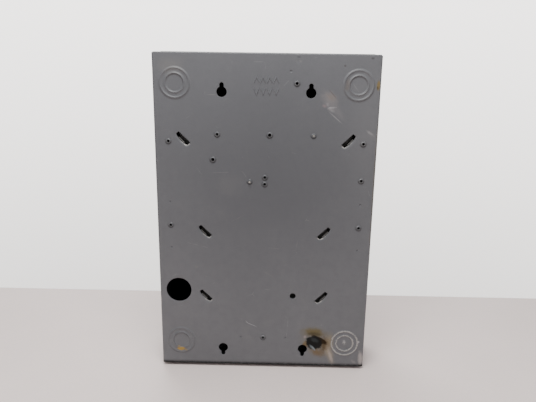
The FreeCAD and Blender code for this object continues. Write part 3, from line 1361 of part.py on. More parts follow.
def check_and_write():
    """Stops on a failed object or a bad shape, then writes one STEP file for each sub-part."""
    doc.recompute()
    failed = [o.Name for o in doc.Objects if "Invalid" in o.State or "Error" in o.State]
    if failed:
        raise RuntimeError(f"failed objects: {failed}")
    for made in written:
        shape = made.Shape
        if shape.isNull() or not shape.isValid() or not shape.Solids:
            raise RuntimeError(f"bad shape: {made.Label}")
    os.makedirs("parts", exist_ok=True)
    for made in written:
        made.Shape.exportStep(os.path.join("parts", f"{made.Label}.step"))
    print(len(written), "sub-parts written")


build()
check_and_write()
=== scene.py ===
"""A residential load center, seen from behind: finishes, sheet-metal surfaces, fittings, light and camera.

Lengths in the classes are millimetres in the row frame (X to the right seen from the front, Y out of the
back, Z up) and are turned into metres where a mesh is made.
"""

import json
import logging
import math
from contextlib import contextmanager
from dataclasses import dataclass, field
from enum import Enum
from typing import Callable, Iterator, Optional, Sequence

import bmesh
import bpy
import numpy as np
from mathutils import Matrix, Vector
from mathutils.geometry import delaunay_2d_cdt

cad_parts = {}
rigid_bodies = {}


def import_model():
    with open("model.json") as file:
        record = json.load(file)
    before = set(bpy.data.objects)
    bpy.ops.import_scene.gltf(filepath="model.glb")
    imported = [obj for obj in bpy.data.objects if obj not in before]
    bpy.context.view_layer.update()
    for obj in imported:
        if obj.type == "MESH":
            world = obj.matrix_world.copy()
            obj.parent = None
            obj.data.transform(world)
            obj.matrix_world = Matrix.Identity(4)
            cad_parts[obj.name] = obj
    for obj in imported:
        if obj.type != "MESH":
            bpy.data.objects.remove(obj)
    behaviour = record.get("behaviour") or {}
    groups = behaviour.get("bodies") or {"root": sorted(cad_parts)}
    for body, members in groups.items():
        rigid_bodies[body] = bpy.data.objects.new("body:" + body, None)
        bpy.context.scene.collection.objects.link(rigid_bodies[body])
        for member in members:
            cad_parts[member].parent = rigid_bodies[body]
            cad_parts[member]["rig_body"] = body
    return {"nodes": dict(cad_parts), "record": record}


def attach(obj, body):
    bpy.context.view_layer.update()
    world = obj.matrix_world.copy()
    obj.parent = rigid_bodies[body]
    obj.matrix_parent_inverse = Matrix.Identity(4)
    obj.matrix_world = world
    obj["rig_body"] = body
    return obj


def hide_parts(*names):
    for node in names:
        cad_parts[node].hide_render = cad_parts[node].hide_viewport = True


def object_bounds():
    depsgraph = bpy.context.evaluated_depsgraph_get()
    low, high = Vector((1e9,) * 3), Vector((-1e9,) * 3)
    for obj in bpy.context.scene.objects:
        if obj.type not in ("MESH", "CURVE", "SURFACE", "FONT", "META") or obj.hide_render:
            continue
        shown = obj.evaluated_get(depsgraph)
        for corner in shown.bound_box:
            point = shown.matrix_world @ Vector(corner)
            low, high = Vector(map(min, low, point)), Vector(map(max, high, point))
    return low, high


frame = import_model()
CAD_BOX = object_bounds()
MM = 0.001
Socket = bpy.types.NodeSocket
Color = tuple[float, float, float]
log = logging.getLogger("load_center")


# ---------------------------------------------------------------- finishes


class Slot(Enum):
    """Material slots of the record."""

    BOX_PAINT = "box_paint"
    COVER_PAINT = "cover_paint"
    ZINC_PLATE = "zinc_plate"
    BASE_MOULDING = "base_moulding"
    HANDLE_MOULDING = "handle_moulding"
    TINNED_BAR = "tinned_bar"
    CONTACT_COPPER = "contact_copper"
    CARD_PAPER = "card_paper"


class Graph:
    """Adds and links the nodes of one tree."""

    def __init__(self, tree: bpy.types.NodeTree) -> None:
        """Keeps the tree.

        Args:
            tree: the tree that is filled.
        """
        self.tree = tree

    def add(self, kind: str, inputs: Optional[dict[object, object]] = None,
            **settings: object) -> bpy.types.Node:
        """Adds a node, sets its properties and fills its inputs.

        Args:
            kind: the node's type.
            inputs: sockets or values, by the input's name or number.
            settings: the node's own properties.

        Returns:
            The node.
        """
        made = self.tree.nodes.new(kind)
        for key, value in settings.items():
            setattr(made, key, value)
        for key, value in (inputs or {}).items():
            self.feed(made.inputs[key], value)
        return made

    def feed(self, socket: Socket, value: object) -> None:
        """Links a socket into an input, or sets the input to a value."""
        if isinstance(value, bpy.types.NodeSocket):
            self.tree.links.new(value, socket)
        elif isinstance(value, tuple) and len(value) == 3 and socket.type == "RGBA":
            socket.default_value = (*value, 1.0)
        else:
            socket.default_value = value

    def blend(self, factor: object, base: object, top: object) -> Socket:
        """Two colours mixed by a factor."""
        return self.add("ShaderNodeMix", {0: factor, 6: base, 7: top}, data_type="RGBA").outputs[2]


class Recipe(Graph):
    """Builds one material's nodes on Object coordinates."""

    def __init__(self, name: str) -> None:
        """Starts an empty node tree with a Principled shader.

        Args:
            name: the material's name.
        """
        self.material = bpy.data.materials.new(name)
        self.material.use_nodes = True
        super().__init__(self.material.node_tree)
        self.tree.nodes.clear()
        self.shader = self.add("ShaderNodeBsdfPrincipled")
        self.add("ShaderNodeOutputMaterial", {"Surface": self.shader.outputs["BSDF"]})
        self.place = self.add("ShaderNodeTexCoord").outputs["Object"]

    def math(self, operation: str, *values: object) -> Socket:
        """A Math node's result."""
        return self.add("ShaderNodeMath", dict(enumerate(values)), operation=operation).outputs[0]

    def noise(self, size_mm: float, detail: float = 3.0, roughness: float = 0.55,
              place: Optional[Socket] = None) -> Socket:
        """Noise whose features are about size_mm across."""
        inputs = {"Vector": self.place if place is None else place, "Scale": 1.0 / (size_mm * MM),
                  "Detail": detail, "Roughness": roughness}
        return self.add("ShaderNodeTexNoise", inputs).outputs["Fac"]

    def step(self, value: Socket, low: float, high: float, start: float = 0.0, end: float = 1.0) -> Socket:
        """A smooth step of value between low and high, from start to end."""
        inputs = {"Value": value, "From Min": low, "From Max": high, "To Min": start, "To Max": end}
        return self.add("ShaderNodeMapRange", inputs, interpolation_type="SMOOTHSTEP").outputs["Result"]

    def tint(self, base: object, noise: Socket, low: float, high: float, amount: float, top: object) -> Socket:
        """A colour that turns by an amount to another one where a noise goes from low to high."""
        return self.blend(self.step(noise, low, high, 0.0, amount), base, top)

    def patch(self, spot: "Patch") -> Socket:
        """How much of a patch is at a point, from 0 to 1."""
        inputs = {"Vector": self.place, "Location": (spot.x * MM, 0.0, spot.z * MM),
                  "Rotation": (0.0, math.radians(-spot.turn), 0.0),
                  "Scale": (spot.width / 2 * MM, 1.0, spot.height / 2 * MM)}
        local = self.add("ShaderNodeMapping", inputs, vector_type="TEXTURE")
        length = self.add("ShaderNodeVectorMath", {0: local.outputs["Vector"]}, operation="LENGTH")
        ragged = self.math("MULTIPLY_ADD", self.noise(spot.grain, 5.0, 0.62), spot.ragged * 2, -spot.ragged)
        reach = self.math("ADD", length.outputs["Value"], ragged)
        return self.step(reach, 1.0, 1.0 - spot.soft, 0.0, spot.strength)

    def attribute(self, name: str) -> Socket:
        """A value that the mesh carries."""
        return self.add("ShaderNodeAttribute", attribute_name=name).outputs["Fac"]

    def bump(self, height: Socket, depth_mm: float, under: Optional[Socket] = None,
             strength: float = 1.0) -> Socket:
        """A normal bent by a height in millimetres."""
        inputs = {"Strength": strength, "Distance": depth_mm * MM, "Height": height}
        if under is not None:
            inputs["Normal"] = under
        return self.add("ShaderNodeBump", inputs).outputs["Normal"]

    def finish(self, **inputs: object) -> bpy.types.Material:
        """Fills the shader's inputs and gives the material."""
        for name, value in inputs.items():
            self.feed(self.shader.inputs[name.replace("_", " ")], value)
        return self.material


def scaled(color: Color, by: float) -> Color:
    """A colour made lighter or darker."""
    red, green, blue = color
    return red * by, green * by, blue * by


@dataclass(frozen=True)
class Patch:
    """A worn, dirty or stained place on the back, in millimetres; a few patches are painted highlights, sheen
    and shade instead.
    """

    x: float
    z: float
    width: float
    height: float
    color: Color
    turn: float = 0.0
    soft: float = 0.6
    ragged: float = 0.35
    grain: float = 6.0
    strength: float = 0.7
    gloss: float = 0.0


WHITISH: Color = (0.42, 0.41, 0.42)
YELLOW: Color = (0.42, 0.26, 0.045)


@dataclass(frozen=True)
class BoxPaint:
    """Grey baked enamel on the box, with its dust, scuffs, stains and worn rims, and with painted shade,
    shadows, sheen and highlights from some patches and from the mesh's masks.
    """

    color: Color = (0.127, 0.132, 0.144)
    speck: Color = (0.21, 0.21, 0.215)
    dust: Color = (0.25, 0.24, 0.235)
    dirt_and_shade: Color = (0.02, 0.019, 0.018)
    bare_steel_and_highlight: Color = (0.37, 0.36, 0.345)
    roughness: float = 0.46
    orange_peel_mm: float = 1.6
    patches: tuple[Patch, ...] = ()

    def build(self, name: str) -> bpy.types.Material:
        """Makes the material.

        Args:
            name: the material's name.

        Returns:
            The painted-steel material.
        """
        mix = Recipe(name)
        cloudy = mix.noise(150.0, 4.0, 0.6)
        mottled = mix.noise(14.0, 5.0, 0.65)
        fine = mix.noise(1.1, 2.0, 0.5)
        color = mix.tint(self.color, cloudy, 0.3, 0.7, 0.5, scaled(self.color, 1.16))
        color = mix.tint(color, mottled, 0.35, 0.75, 0.32, scaled(self.color, 0.8))
        color = mix.tint(color, fine, 0.35, 0.7, 0.16, self.speck)
        color = mix.tint(color, mix.noise(45.0, 6.0, 0.7), 0.52, 0.78, 0.16, self.dust)
        rough = mix.step(mottled, 0.25, 0.8, self.roughness - 0.06, self.roughness + 0.1)
        charred: Optional[Socket] = None
        for spot in self.patches:
            amount = mix.patch(spot)
            color = mix.blend(amount, color, spot.color)
            if spot.gloss:
                rough = mix.math("MULTIPLY_ADD", amount, spot.gloss, rough)
            if spot.gloss > 0:
                charred = amount if charred is None else mix.math("MAXIMUM", charred, amount)
        cells = {"Vector": mix.place, "Scale": 1.0 / (70.0 * MM)}
        hairlines = mix.add("ShaderNodeTexVoronoi", cells, feature="DISTANCE_TO_EDGE")
        thin = mix.step(hairlines.outputs["Distance"], 0.006, 0.0, 0.0, 0.2)
        broken = mix.step(mix.noise(30.0, 4.0, 0.6), 0.56, 0.66)
        color = mix.blend(mix.math("MULTIPLY", thin, broken), color, WHITISH)
        # the mesh's light mask blends towards bare steel: worn paint on rims and edges, and a painted highlight
        # on the lance lips
        chipped = mix.step(mix.noise(2.2, 6.0, 0.7), 0.42, 0.58)
        wear_and_highlight = mix.step(mix.math("MULTIPLY", mix.attribute("wear_and_highlight"), mix.math("ADD", chipped, 0.35)), 0.3, 0.85)
        color = mix.blend(wear_and_highlight, color, self.bare_steel_and_highlight)
        # the mesh's dark mask blends towards near black: heat colour round spot welds, and painted shade along
        # the bottom edge, in shear lines, dents and bores and below collars
        uneven = mix.step(mix.noise(5.0, 4.0, 0.6), 0.2, 0.7, 0.55, 1.0)
        grime_and_shade = mix.math("MULTIPLY", mix.attribute("grime_and_shade"), uneven)
        color = mix.blend(grime_and_shade, color, self.dirt_and_shade)
        dull = grime_and_shade if charred is None else mix.math("MAXIMUM", charred, grime_and_shade)
        shine = mix.step(dull, 0.0, 0.95, 0.42, 0.03)
        peel = mix.bump(mix.noise(self.orange_peel_mm, 2.0, 0.45), 0.035)
        buckled = mix.bump(mix.noise(60.0, 2.0, 0.4), 0.5, peel, 0.35)
        return mix.finish(Base_Color=color, Roughness=rough, Normal=buckled, Specular_IOR_Level=shine)


@dataclass(frozen=True)
class CoverPaint:
    """Grey baked enamel on the cover, the deadfront and the door."""

    color: Color = (0.15, 0.153, 0.163)
    speck: Color = (0.24, 0.24, 0.245)
    bare_steel_and_highlight: Color = (0.38, 0.375, 0.37)
    roughness: float = 0.4

    def build(self, name: str) -> bpy.types.Material:
        """Makes the material."""
        mix = Recipe(name)
        cloudy = mix.noise(90.0, 4.0, 0.6)
        specks = mix.noise(3.5, 5.0, 0.7)
        color = mix.tint(self.color, cloudy, 0.3, 0.7, 0.5, scaled(self.color, 1.14))
        color = mix.tint(color, specks, 0.5, 0.78, 0.3, self.speck)
        chipped = mix.step(mix.noise(9.0, 6.0, 0.7), 0.48, 0.62, 0.05, 0.8)
        color = mix.blend(mix.math("MULTIPLY", mix.attribute("wear_and_highlight"), chipped), color, self.bare_steel_and_highlight)
        rough = mix.step(cloudy, 0.2, 0.8, self.roughness - 0.05, self.roughness + 0.1)
        peel = mix.bump(mix.noise(1.7, 2.0, 0.45), 0.03)
        return mix.finish(Base_Color=color, Roughness=rough, Normal=peel, Specular_IOR_Level=0.45,
                          Coat_Weight=0.15, Coat_Roughness=0.3)


@dataclass(frozen=True)
class PlatedMetal:
    """Plated or bare metal with fine marks, dull spots and a little tarnish."""

    color: Color
    tarnish: Color
    roughness: float = 0.34
    metallic: float = 1.0
    brushed_mm: float = 0.35
    stretch: float = 0.06

    def build(self, name: str) -> bpy.types.Material:
        """Makes the material."""
        mix = Recipe(name)
        along = mix.add("ShaderNodeMapping", {"Vector": mix.place, "Scale": (1.0, 1.0, self.stretch)})
        lines = mix.noise(self.brushed_mm, 3.0, 0.6, along.outputs["Vector"])
        spots = mix.noise(5.0, 5.0, 0.65)
        color = mix.tint(self.color, spots, 0.48, 0.72, 0.75, self.tarnish)
        color = mix.tint(color, lines, 0.3, 0.75, 0.22, scaled(self.color, 0.7))
        rough = mix.step(spots, 0.3, 0.75, self.roughness - 0.06, self.roughness + 0.22)
        return mix.finish(Base_Color=color, Roughness=rough, Metallic=self.metallic,
                          Normal=mix.bump(lines, 0.012))


@dataclass(frozen=True)
class Moulding:
    """Moulded plastic with a sparked texture, dust in its hollows and rubbed edges."""

    color: Color
    rubbed: Color
    roughness: float = 0.5
    texture_mm: float = 0.5
    texture_depth: float = 0.02
    dust: Color = (0.16, 0.152, 0.14)

    def build(self, name: str) -> bpy.types.Material:
        """Makes the material."""
        mix = Recipe(name)
        grain = mix.noise(self.texture_mm, 2.0, 0.5)
        patchy = mix.noise(18.0, 4.0, 0.6)
        color = mix.tint(self.color, patchy, 0.35, 0.7, 0.6, scaled(self.color, 1.45))
        color = mix.tint(color, mix.noise(7.0, 6.0, 0.7), 0.55, 0.8, 0.3, self.dust)
        uneven = mix.step(mix.noise(4.0, 4.0, 0.6), 0.35, 0.6, 0.25, 0.9)
        color = mix.blend(mix.math("MULTIPLY", mix.attribute("wear_and_highlight"), uneven), color, self.rubbed)
        rough = mix.step(patchy, 0.3, 0.7, self.roughness - 0.07, self.roughness + 0.1)
        return mix.finish(Base_Color=color, Roughness=rough, Normal=mix.bump(grain, self.texture_depth),
                          Specular_IOR_Level=0.45)


@dataclass(frozen=True)
class CardPaper:
    """The directory card: aged card stock with ruled lines for the circuits."""

    color: Color = (0.70, 0.67, 0.58)
    aged: Color = (0.55, 0.47, 0.33)
    ink: Color = (0.08, 0.08, 0.09)
    line_pitch_mm: float = 14.0

    def build(self, name: str) -> bpy.types.Material:
        """Makes the material."""
        mix = Recipe(name)
        fibres = mix.noise(0.6, 4.0, 0.7)
        stain = mix.noise(35.0, 5.0, 0.65)
        color = mix.tint(self.color, stain, 0.45, 0.75, 0.6, self.aged)
        parts = mix.add("ShaderNodeSeparateXYZ", {0: mix.place})
        cycle = mix.math("FRACT", mix.math("DIVIDE", parts.outputs["Z"], self.line_pitch_mm * MM))
        near_line = mix.math("ABSOLUTE", mix.math("SUBTRACT", cycle, 0.5))
        color = mix.tint(color, near_line, 0.022, 0.012, 0.8, self.ink)
        across = mix.math("ABSOLUTE", parts.outputs["X"])
        color = mix.tint(color, across, 0.0006, 0.0003, 0.8, self.ink)
        return mix.finish(Base_Color=color, Roughness=0.85, Normal=mix.bump(fibres, 0.02),
                          Specular_IOR_Level=0.25)


# The marks on the back: seen from behind, -X is to the right.
MARKS = (
    # scorched place by the lower keyhole, its halo and the run that leaves it
    Patch(-96, -224, 96, 66, (0.16, 0.143, 0.105), 48, 0.9, 0.4, 16, 0.62),
    Patch(-91, -205, 58, 26, (0.115, 0.088, 0.028), 6, 0.9, 0.5, 9, 0.95),
    Patch(-92, -209, 36, 13, (0.055, 0.040, 0.014), 4, 0.8, 0.5, 6, 0.9),
    Patch(-76, -229, 13, 18, (0.14, 0.095, 0.035), 0, 0.7, 0.45, 5, 0.9),
    Patch(-117, -226, 24, 56, (0.25, 0.195, 0.115), 8, 0.9, 0.5, 7, 0.75),
    Patch(-110, -229, 24, 44, (0.075, 0.048, 0.018), 4, 0.85, 0.5, 6, 1.0),
    Patch(-98, -244, 42, 22, (0.135, 0.088, 0.04), 20, 0.9, 0.5, 6, 0.85),
    Patch(-120, -247, 56, 19, (0.30, 0.245, 0.185), 72, 0.9, 0.5, 9, 0.6),
    Patch(-122, -252, 42, 8, (0.41, 0.36, 0.315), 72, 0.8, 0.5, 5, 0.6),
    Patch(-75, -214, 7, 8, (0.32, 0.26, 0.27), 30, 0.8, 0.4, 4, 0.6),
    Patch(-104, -221, 29, 12, (0.028, 0.018, 0.01), 32, 0.4, 0.35, 5, 0.97, 0.08),
    Patch(-91, -225, 33, 30, (0.014, 0.014, 0.014), 30, 0.25, 0.32, 9, 0.98, 0.12),
    # painted sheen and painted highlights on the scorched place: a bluish sheen, a blue-grey band and a bright
    # sliver
    Patch(-92, -220, 22, 11, (0.045, 0.05, 0.052), 25, 0.7, 0.5, 4, 0.7, -0.1),
    Patch(-89, -235, 20, 6.0, (0.14, 0.165, 0.175), 46, 0.5, 0.35, 4, 0.85, -0.2),
    Patch(-91, -236.5, 12, 1.7, (0.30, 0.33, 0.345), 46, 0.5, 0.3, 3, 0.75, -0.2),
    # spilt paint on the lower knock-out at the other side
    Patch(147, -242, 17, 8.5, YELLOW, 0, 0.4, 0.4, 3.5, 0.9),
    Patch(139, -244, 9, 4, (0.25, 0.17, 0.06), 10, 0.6, 0.4, 3.0, 0.6),
    Patch(151, -237, 7, 3.5, (0.3, 0.2, 0.06), -20, 0.6, 0.4, 2.5, 0.6),
    # a broad painted sheen over the upper right side, then scuffs and scratches near the upper knock-out
    Patch(-165, 150, 120, 320, (0.170, 0.173, 0.182), 0, 1.0, 0.15, 40, 0.6),
    Patch(-101, 202, 46, 30, (0.235, 0.22, 0.222), 42, 0.95, 0.5, 6, 0.8),
    Patch(-103, 206, 24, 15, (0.22, 0.19, 0.17), 30, 0.9, 0.5, 4, 0.75),
    Patch(-93, 192, 11, 7, (0.29, 0.225, 0.235), 20, 0.8, 0.5, 4, 0.7),
    Patch(-105, 189.5, 17, 4.0, (0.46, 0.45, 0.47), -4, 0.7, 0.5, 3, 0.95),
    Patch(-104, 186, 20, 8, (0.33, 0.32, 0.33), 30, 0.9, 0.5, 4, 0.7),
    Patch(-98, 194, 10, 6, (0.33, 0.31, 0.33), 60, 0.9, 0.5, 3, 0.6),
    Patch(-105, 211, 27, 1.5, (0.10, 0.07, 0.055), 47, 0.7, 0.4, 4, 0.75),
    Patch(-99, 206, 18, 1.3, (0.27, 0.22, 0.2), 45, 0.7, 0.4, 3, 0.6),
    Patch(-111, 174, 36, 2.6, (0.31, 0.30, 0.31), 40, 0.8, 0.45, 5, 0.8),
    Patch(-114, 183, 52, 16, (0.20, 0.196, 0.203), 44, 0.95, 0.5, 8, 0.6),
    Patch(-128, 225, 12, 26, (0.15, 0.118, 0.09), 10, 0.8, 0.5, 6, 0.4),
    Patch(-168, 150, 20, 5.5, (0.34, 0.335, 0.34), 36, 0.8, 0.5, 4, 0.8),
    Patch(-172, 146, 26, 14, (0.19, 0.188, 0.19), 36, 0.95, 0.5, 6, 0.4),
    Patch(-176.5, 225, 7, 19, (0.20, 0.145, 0.05), 0, 0.5, 0.35, 4, 0.9),
    Patch(-175.5, 221, 4, 8, (0.07, 0.05, 0.02), 0, 0.7, 0.4, 3, 0.8),
    Patch(-165, 266, 7, 4, (0.05, 0.05, 0.05), 0, 0.7, 0.4, 3, 0.7),
    Patch(-122.6, 254, 5, 4.5, (0.055, 0.05, 0.045), 0, 0.7, 0.4, 3, 0.75),
    # worn corner and edge
    Patch(-176, -255, 12, 38, (0.40, 0.36, 0.35), -4, 0.7, 0.5, 5, 0.8),
    Patch(-170, -222, 8, 6, WHITISH, 0, 0.6, 0.4, 3, 0.8),
    Patch(-164, -262, 16, 8, (0.27, 0.25, 0.25), 30, 0.8, 0.5, 4, 0.45),
    Patch(-179.5, 60, 6, 330, (0.15, 0.13, 0.095), 0, 0.8, 0.5, 18, 0.5),
    Patch(-145, -221, 7, 7, (0.33, 0.33, 0.34), 0, 0.8, 0.2, 3, 0.65),
    # small marks in the field
    Patch(21, -192, 27, 1.3, (0.36, 0.36, 0.37), 24, 0.5, 0.25, 5, 0.8),
    Patch(29, -187, 8, 1.6, (0.3, 0.3, 0.31), 42, 0.5, 0.3, 3, 0.6),
    Patch(116, -85, 10, 7, (0.19, 0.185, 0.18), 0, 0.9, 0.5, 4, 0.45),
    Patch(87, 207, 21, 1.2, (0.27, 0.265, 0.26), 0, 0.7, 0.4, 4, 0.65),
    Patch(97.5, 210, 1.2, 8, (0.25, 0.245, 0.24), 0, 0.7, 0.4, 4, 0.5),
    Patch(-50, 260, 13, 5, (0.26, 0.255, 0.25), 0, 0.8, 0.3, 4, 0.6),
    Patch(-50, 266.5, 9, 2.8, (0.045, 0.045, 0.05), 0, 0.8, 0.3, 4, 0.75),
    # painted shade: a broad soft darkening over the middle of the back
    Patch(0, 60, 620, 600, (0.084, 0.088, 0.098), 0, 1.0, 0.1, 60, 0.72),
    Patch(-8, -96, 34, 3, (0.16, 0.16, 0.16), 30, 0.9, 0.4, 6, 0.35),
    Patch(60, 60, 70, 50, (0.15, 0.15, 0.155), 0, 0.9, 0.6, 22, 0.25),
    # painted sheen: a soft lighter place near the upper left corner
    Patch(150, 250, 60, 40, (0.19, 0.185, 0.18), 0, 0.95, 0.5, 22, 0.4),
)


class Finishes:
    """All the finishes, made once and looked up by slot."""

    def __init__(self) -> None:
        """Builds one material for each slot."""
        kinds = {
            Slot.BOX_PAINT: BoxPaint(patches=MARKS),
            Slot.COVER_PAINT: CoverPaint(),
            Slot.ZINC_PLATE: PlatedMetal((0.60, 0.60, 0.57), (0.36, 0.34, 0.29)),
            Slot.BASE_MOULDING: Moulding((0.018, 0.018, 0.019), (0.07, 0.07, 0.07)),
            Slot.HANDLE_MOULDING: Moulding((0.034, 0.034, 0.036), (0.13, 0.13, 0.13), 0.34, 0.8, 0.006),
            Slot.TINNED_BAR: PlatedMetal((0.66, 0.66, 0.65), (0.44, 0.43, 0.41), 0.4, 1.0, 0.8),
            Slot.CONTACT_COPPER: PlatedMetal((0.62, 0.33, 0.20), (0.26, 0.15, 0.10), 0.36),
            Slot.CARD_PAPER: CardPaper(),
        }
        self.by_slot = {slot: looks.build(slot.value) for slot, looks in kinds.items()}
        self.plain_box = BoxPaint().build("box_paint_inner")
        # painted shade: the interior pan and bracket get a dark plating, for the shade inside the closed box
        self.shade_darkened_plate = PlatedMetal((0.17, 0.17, 0.165), (0.09, 0.087, 0.08), 0.62, 0.45).build("shade_darkened_plate")

    def of(self, node: str) -> Slot:
        """The slot that the record gives a node."""
        for part in frame["record"]["subparts"]:
            if part["node"] == node:
                return Slot(part["material_slot"])
        raise KeyError(node)

    def for_node(self, node: str) -> bpy.types.Material:
        """The material of a node: that of its slot, or, for the interior's sheet parts, a plating darkened as
        painted shade for the inside of the closed box.
        """
        return self.shade_darkened_plate if node in ("interior_pan", "main_bracket") else self.by_slot[self.of(node)]

    def __getitem__(self, slot: Slot) -> bpy.types.Material:
        """The material of a slot."""
        return self.by_slot[slot]


# ---------------------------------------------------------------- meshes


def place(obj: bpy.types.Object, body: str, slot: Slot, replaced: Sequence[str] = ()) -> bpy.types.Object:
    """Hands a finished piece to the frame.

    Args:
        obj: the piece, with its place in its mesh.
        body: the body that it rides on.
        slot: the record's material slot; not used.
        replaced: CAD nodes that the piece stands for.

    Returns:
        The piece.
    """
    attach(obj, body)
    if replaced:
        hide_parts(*replaced)
    return obj


def mesh_piece(name: str, points_mm: np.ndarray, faces: Sequence[Sequence[int]], material: bpy.types.Material,
               values: Optional[dict[str, np.ndarray]] = None) -> bpy.types.Object:
    """Makes an object from points in millimetres.

    Args:
        name: the piece's name.
        points_mm: one row for each vertex.
        faces: corner indices.
        material: its finish.
        values: vertex attributes that the finish reads.

    Returns:
        The linked object.
    """
    mesh = bpy.data.meshes.new(name)
    mesh.from_pydata((points_mm * MM).tolist(), [], [list(f) for f in faces])
    mesh.validate()
    for key, numbers in (values or {}).items():
        mesh.attributes.new(key, "FLOAT", "POINT").data.foreach_set("value", numbers.astype(np.float32))
    mesh.materials.append(material)
    smooth(mesh)
    return linked(name, mesh)


def linked(name: str, data: bpy.types.ID) -> bpy.types.Object:
    """A new object of the scene that shows a mesh, a lamp or a camera."""
    obj = bpy.data.objects.new(name, data)
    bpy.context.scene.collection.objects.link(obj)
    return obj


@contextmanager
def editing(mesh: bpy.types.Mesh) -> Iterator[bmesh.types.BMesh]:
    """Opens a mesh for editing and writes it back at the end."""
    work = bmesh.new()
    work.from_mesh(mesh)
    yield work
    work.to_mesh(mesh)
    work.free()


def applied(obj: bpy.types.Object, name: str) -> bpy.types.Mesh:
    """The mesh that an object's modifiers make. The object itself is removed."""
    view = bpy.context.evaluated_depsgraph_get()
    made = bpy.data.meshes.new_from_object(obj.evaluated_get(view), depsgraph=view)
    made.name = name
    bpy.data.objects.remove(obj)
    return made


def smooth(mesh: bpy.types.Mesh, crease: float = 32.0) -> None:
    """Shades a mesh smooth, apart from edges sharper than crease degrees."""
    mesh.shade_smooth()
    mesh.set_sharp_from_angle(angle=math.radians(crease))


def ring(x: float, z: float, radius: float, count: int) -> np.ndarray:
    """Points on a circle."""
    turn = np.arange(count) * (2 * math.pi / count)
    return np.stack([x + radius * np.cos(turn), z + radius * np.sin(turn)], axis=1)


def ease_in(value: np.ndarray, start: float, end: float) -> np.ndarray:
    """A smooth step from 0 at start to 1 at end, which may lie on either side of start."""
    t = np.clip((value - start) / (end - start), 0.0, 1.0)
    return t * t * (3 - 2 * t)


def hump(value: np.ndarray, centre: float, width: float) -> np.ndarray:
    """A smooth bump of height 1 about a centre."""
    return np.exp(-((value - centre) / width) ** 2)


def edge_distance(points: np.ndarray, loop: np.ndarray) -> np.ndarray:
    """The distance of points from a closed outline, negative inside it."""
    best = np.full(len(points), 1e9)
    inside = np.zeros(len(points), bool)
    for start, end in zip(loop, np.roll(loop, -1, axis=0)):
        along = end - start
        t = np.clip(((points - start) @ along) / max(along @ along, 1e-12), 0.0, 1.0)
        best = np.minimum(best, np.linalg.norm(points - (start + t[:, None] * along), axis=1))
        spans = (start[1] > points[:, 1]) != (end[1] > points[:, 1])
        rise = (end[1] - start[1]) or 1e-12
        cross = start[0] + (points[:, 1] - start[1]) * along[0] / rise
        inside ^= spans & (points[:, 0] < cross)
    return np.where(inside, -best, best)


def grown(loop: np.ndarray, by: float) -> np.ndarray:
    """A counter-clockwise outline moved outwards along its corners' normals."""
    before, after = np.roll(loop, 1, axis=0), np.roll(loop, -1, axis=0)
    along = after - before
    normal = np.stack([along[:, 1], -along[:, 0]], axis=1)
    normal /= np.maximum(np.linalg.norm(normal, axis=1)[:, None], 1e-9)
    return loop + normal * by


def resampled(corners: Sequence[tuple[float, float]], pitch: float) -> np.ndarray:
    """A closed outline with points no further apart than pitch."""
    points = []
    for start, end in zip(corners, [*corners[1:], corners[0]]):
        count = max(1, math.ceil(math.dist(start, end) / pitch))
        for i in range(count):
            t = i / count
            points.append((start[0] + (end[0] - start[0]) * t, start[1] + (end[1] - start[1]) * t))
    return np.array(points)


# ---------------------------------------------------------------- pressed sheet


@dataclass
class Pressing:
    """Something pressed in or cut from a sheet, at (s, z) on the unfolded sheet."""

    s: float
    z: float

    def loops(self) -> list[np.ndarray]:
        """Rings of points that the triangles follow."""
        return []

    def hole(self) -> Optional[np.ndarray]:
        """The outline that is cut out, if there is one."""
        return None

    def clear(self, points: np.ndarray) -> np.ndarray:
        """Which plain points are far enough away to stay."""
        return np.ones(len(points), bool)

    def height(self, points: np.ndarray) -> np.ndarray:
        """How far the sheet is pressed outwards."""
        return np.zeros(len(points))

    def wear_and_highlight(self, points: np.ndarray) -> np.ndarray:
        """How much paint is rubbed off, and how much painted highlight is laid on."""
        return np.zeros(len(points))

    def grime_and_shade(self, points: np.ndarray) -> np.ndarray:
        """How much dirt, heat colour and painted shade is laid on."""
        return np.zeros(len(points))

    def radius(self, points: np.ndarray) -> np.ndarray:
        """Distances from the middle."""
        return np.hypot(points[:, 0] - self.s, points[:, 1] - self.z)


@dataclass
class Round(Pressing):
    """A round pressing given by ring radii."""

    radii: tuple[float, ...] = ()
    count: int = 48
    margin: float = 1.6

    def loops(self) -> list[np.ndarray]:
        """One ring for each radius."""
        return [ring(self.s, self.z, r, self.count) for r in self.radii]

    def clear(self, points: np.ndarray) -> np.ndarray:
        """Plain points outside the last ring."""
        return self.radius(points) > self.radii[-1] + self.margin


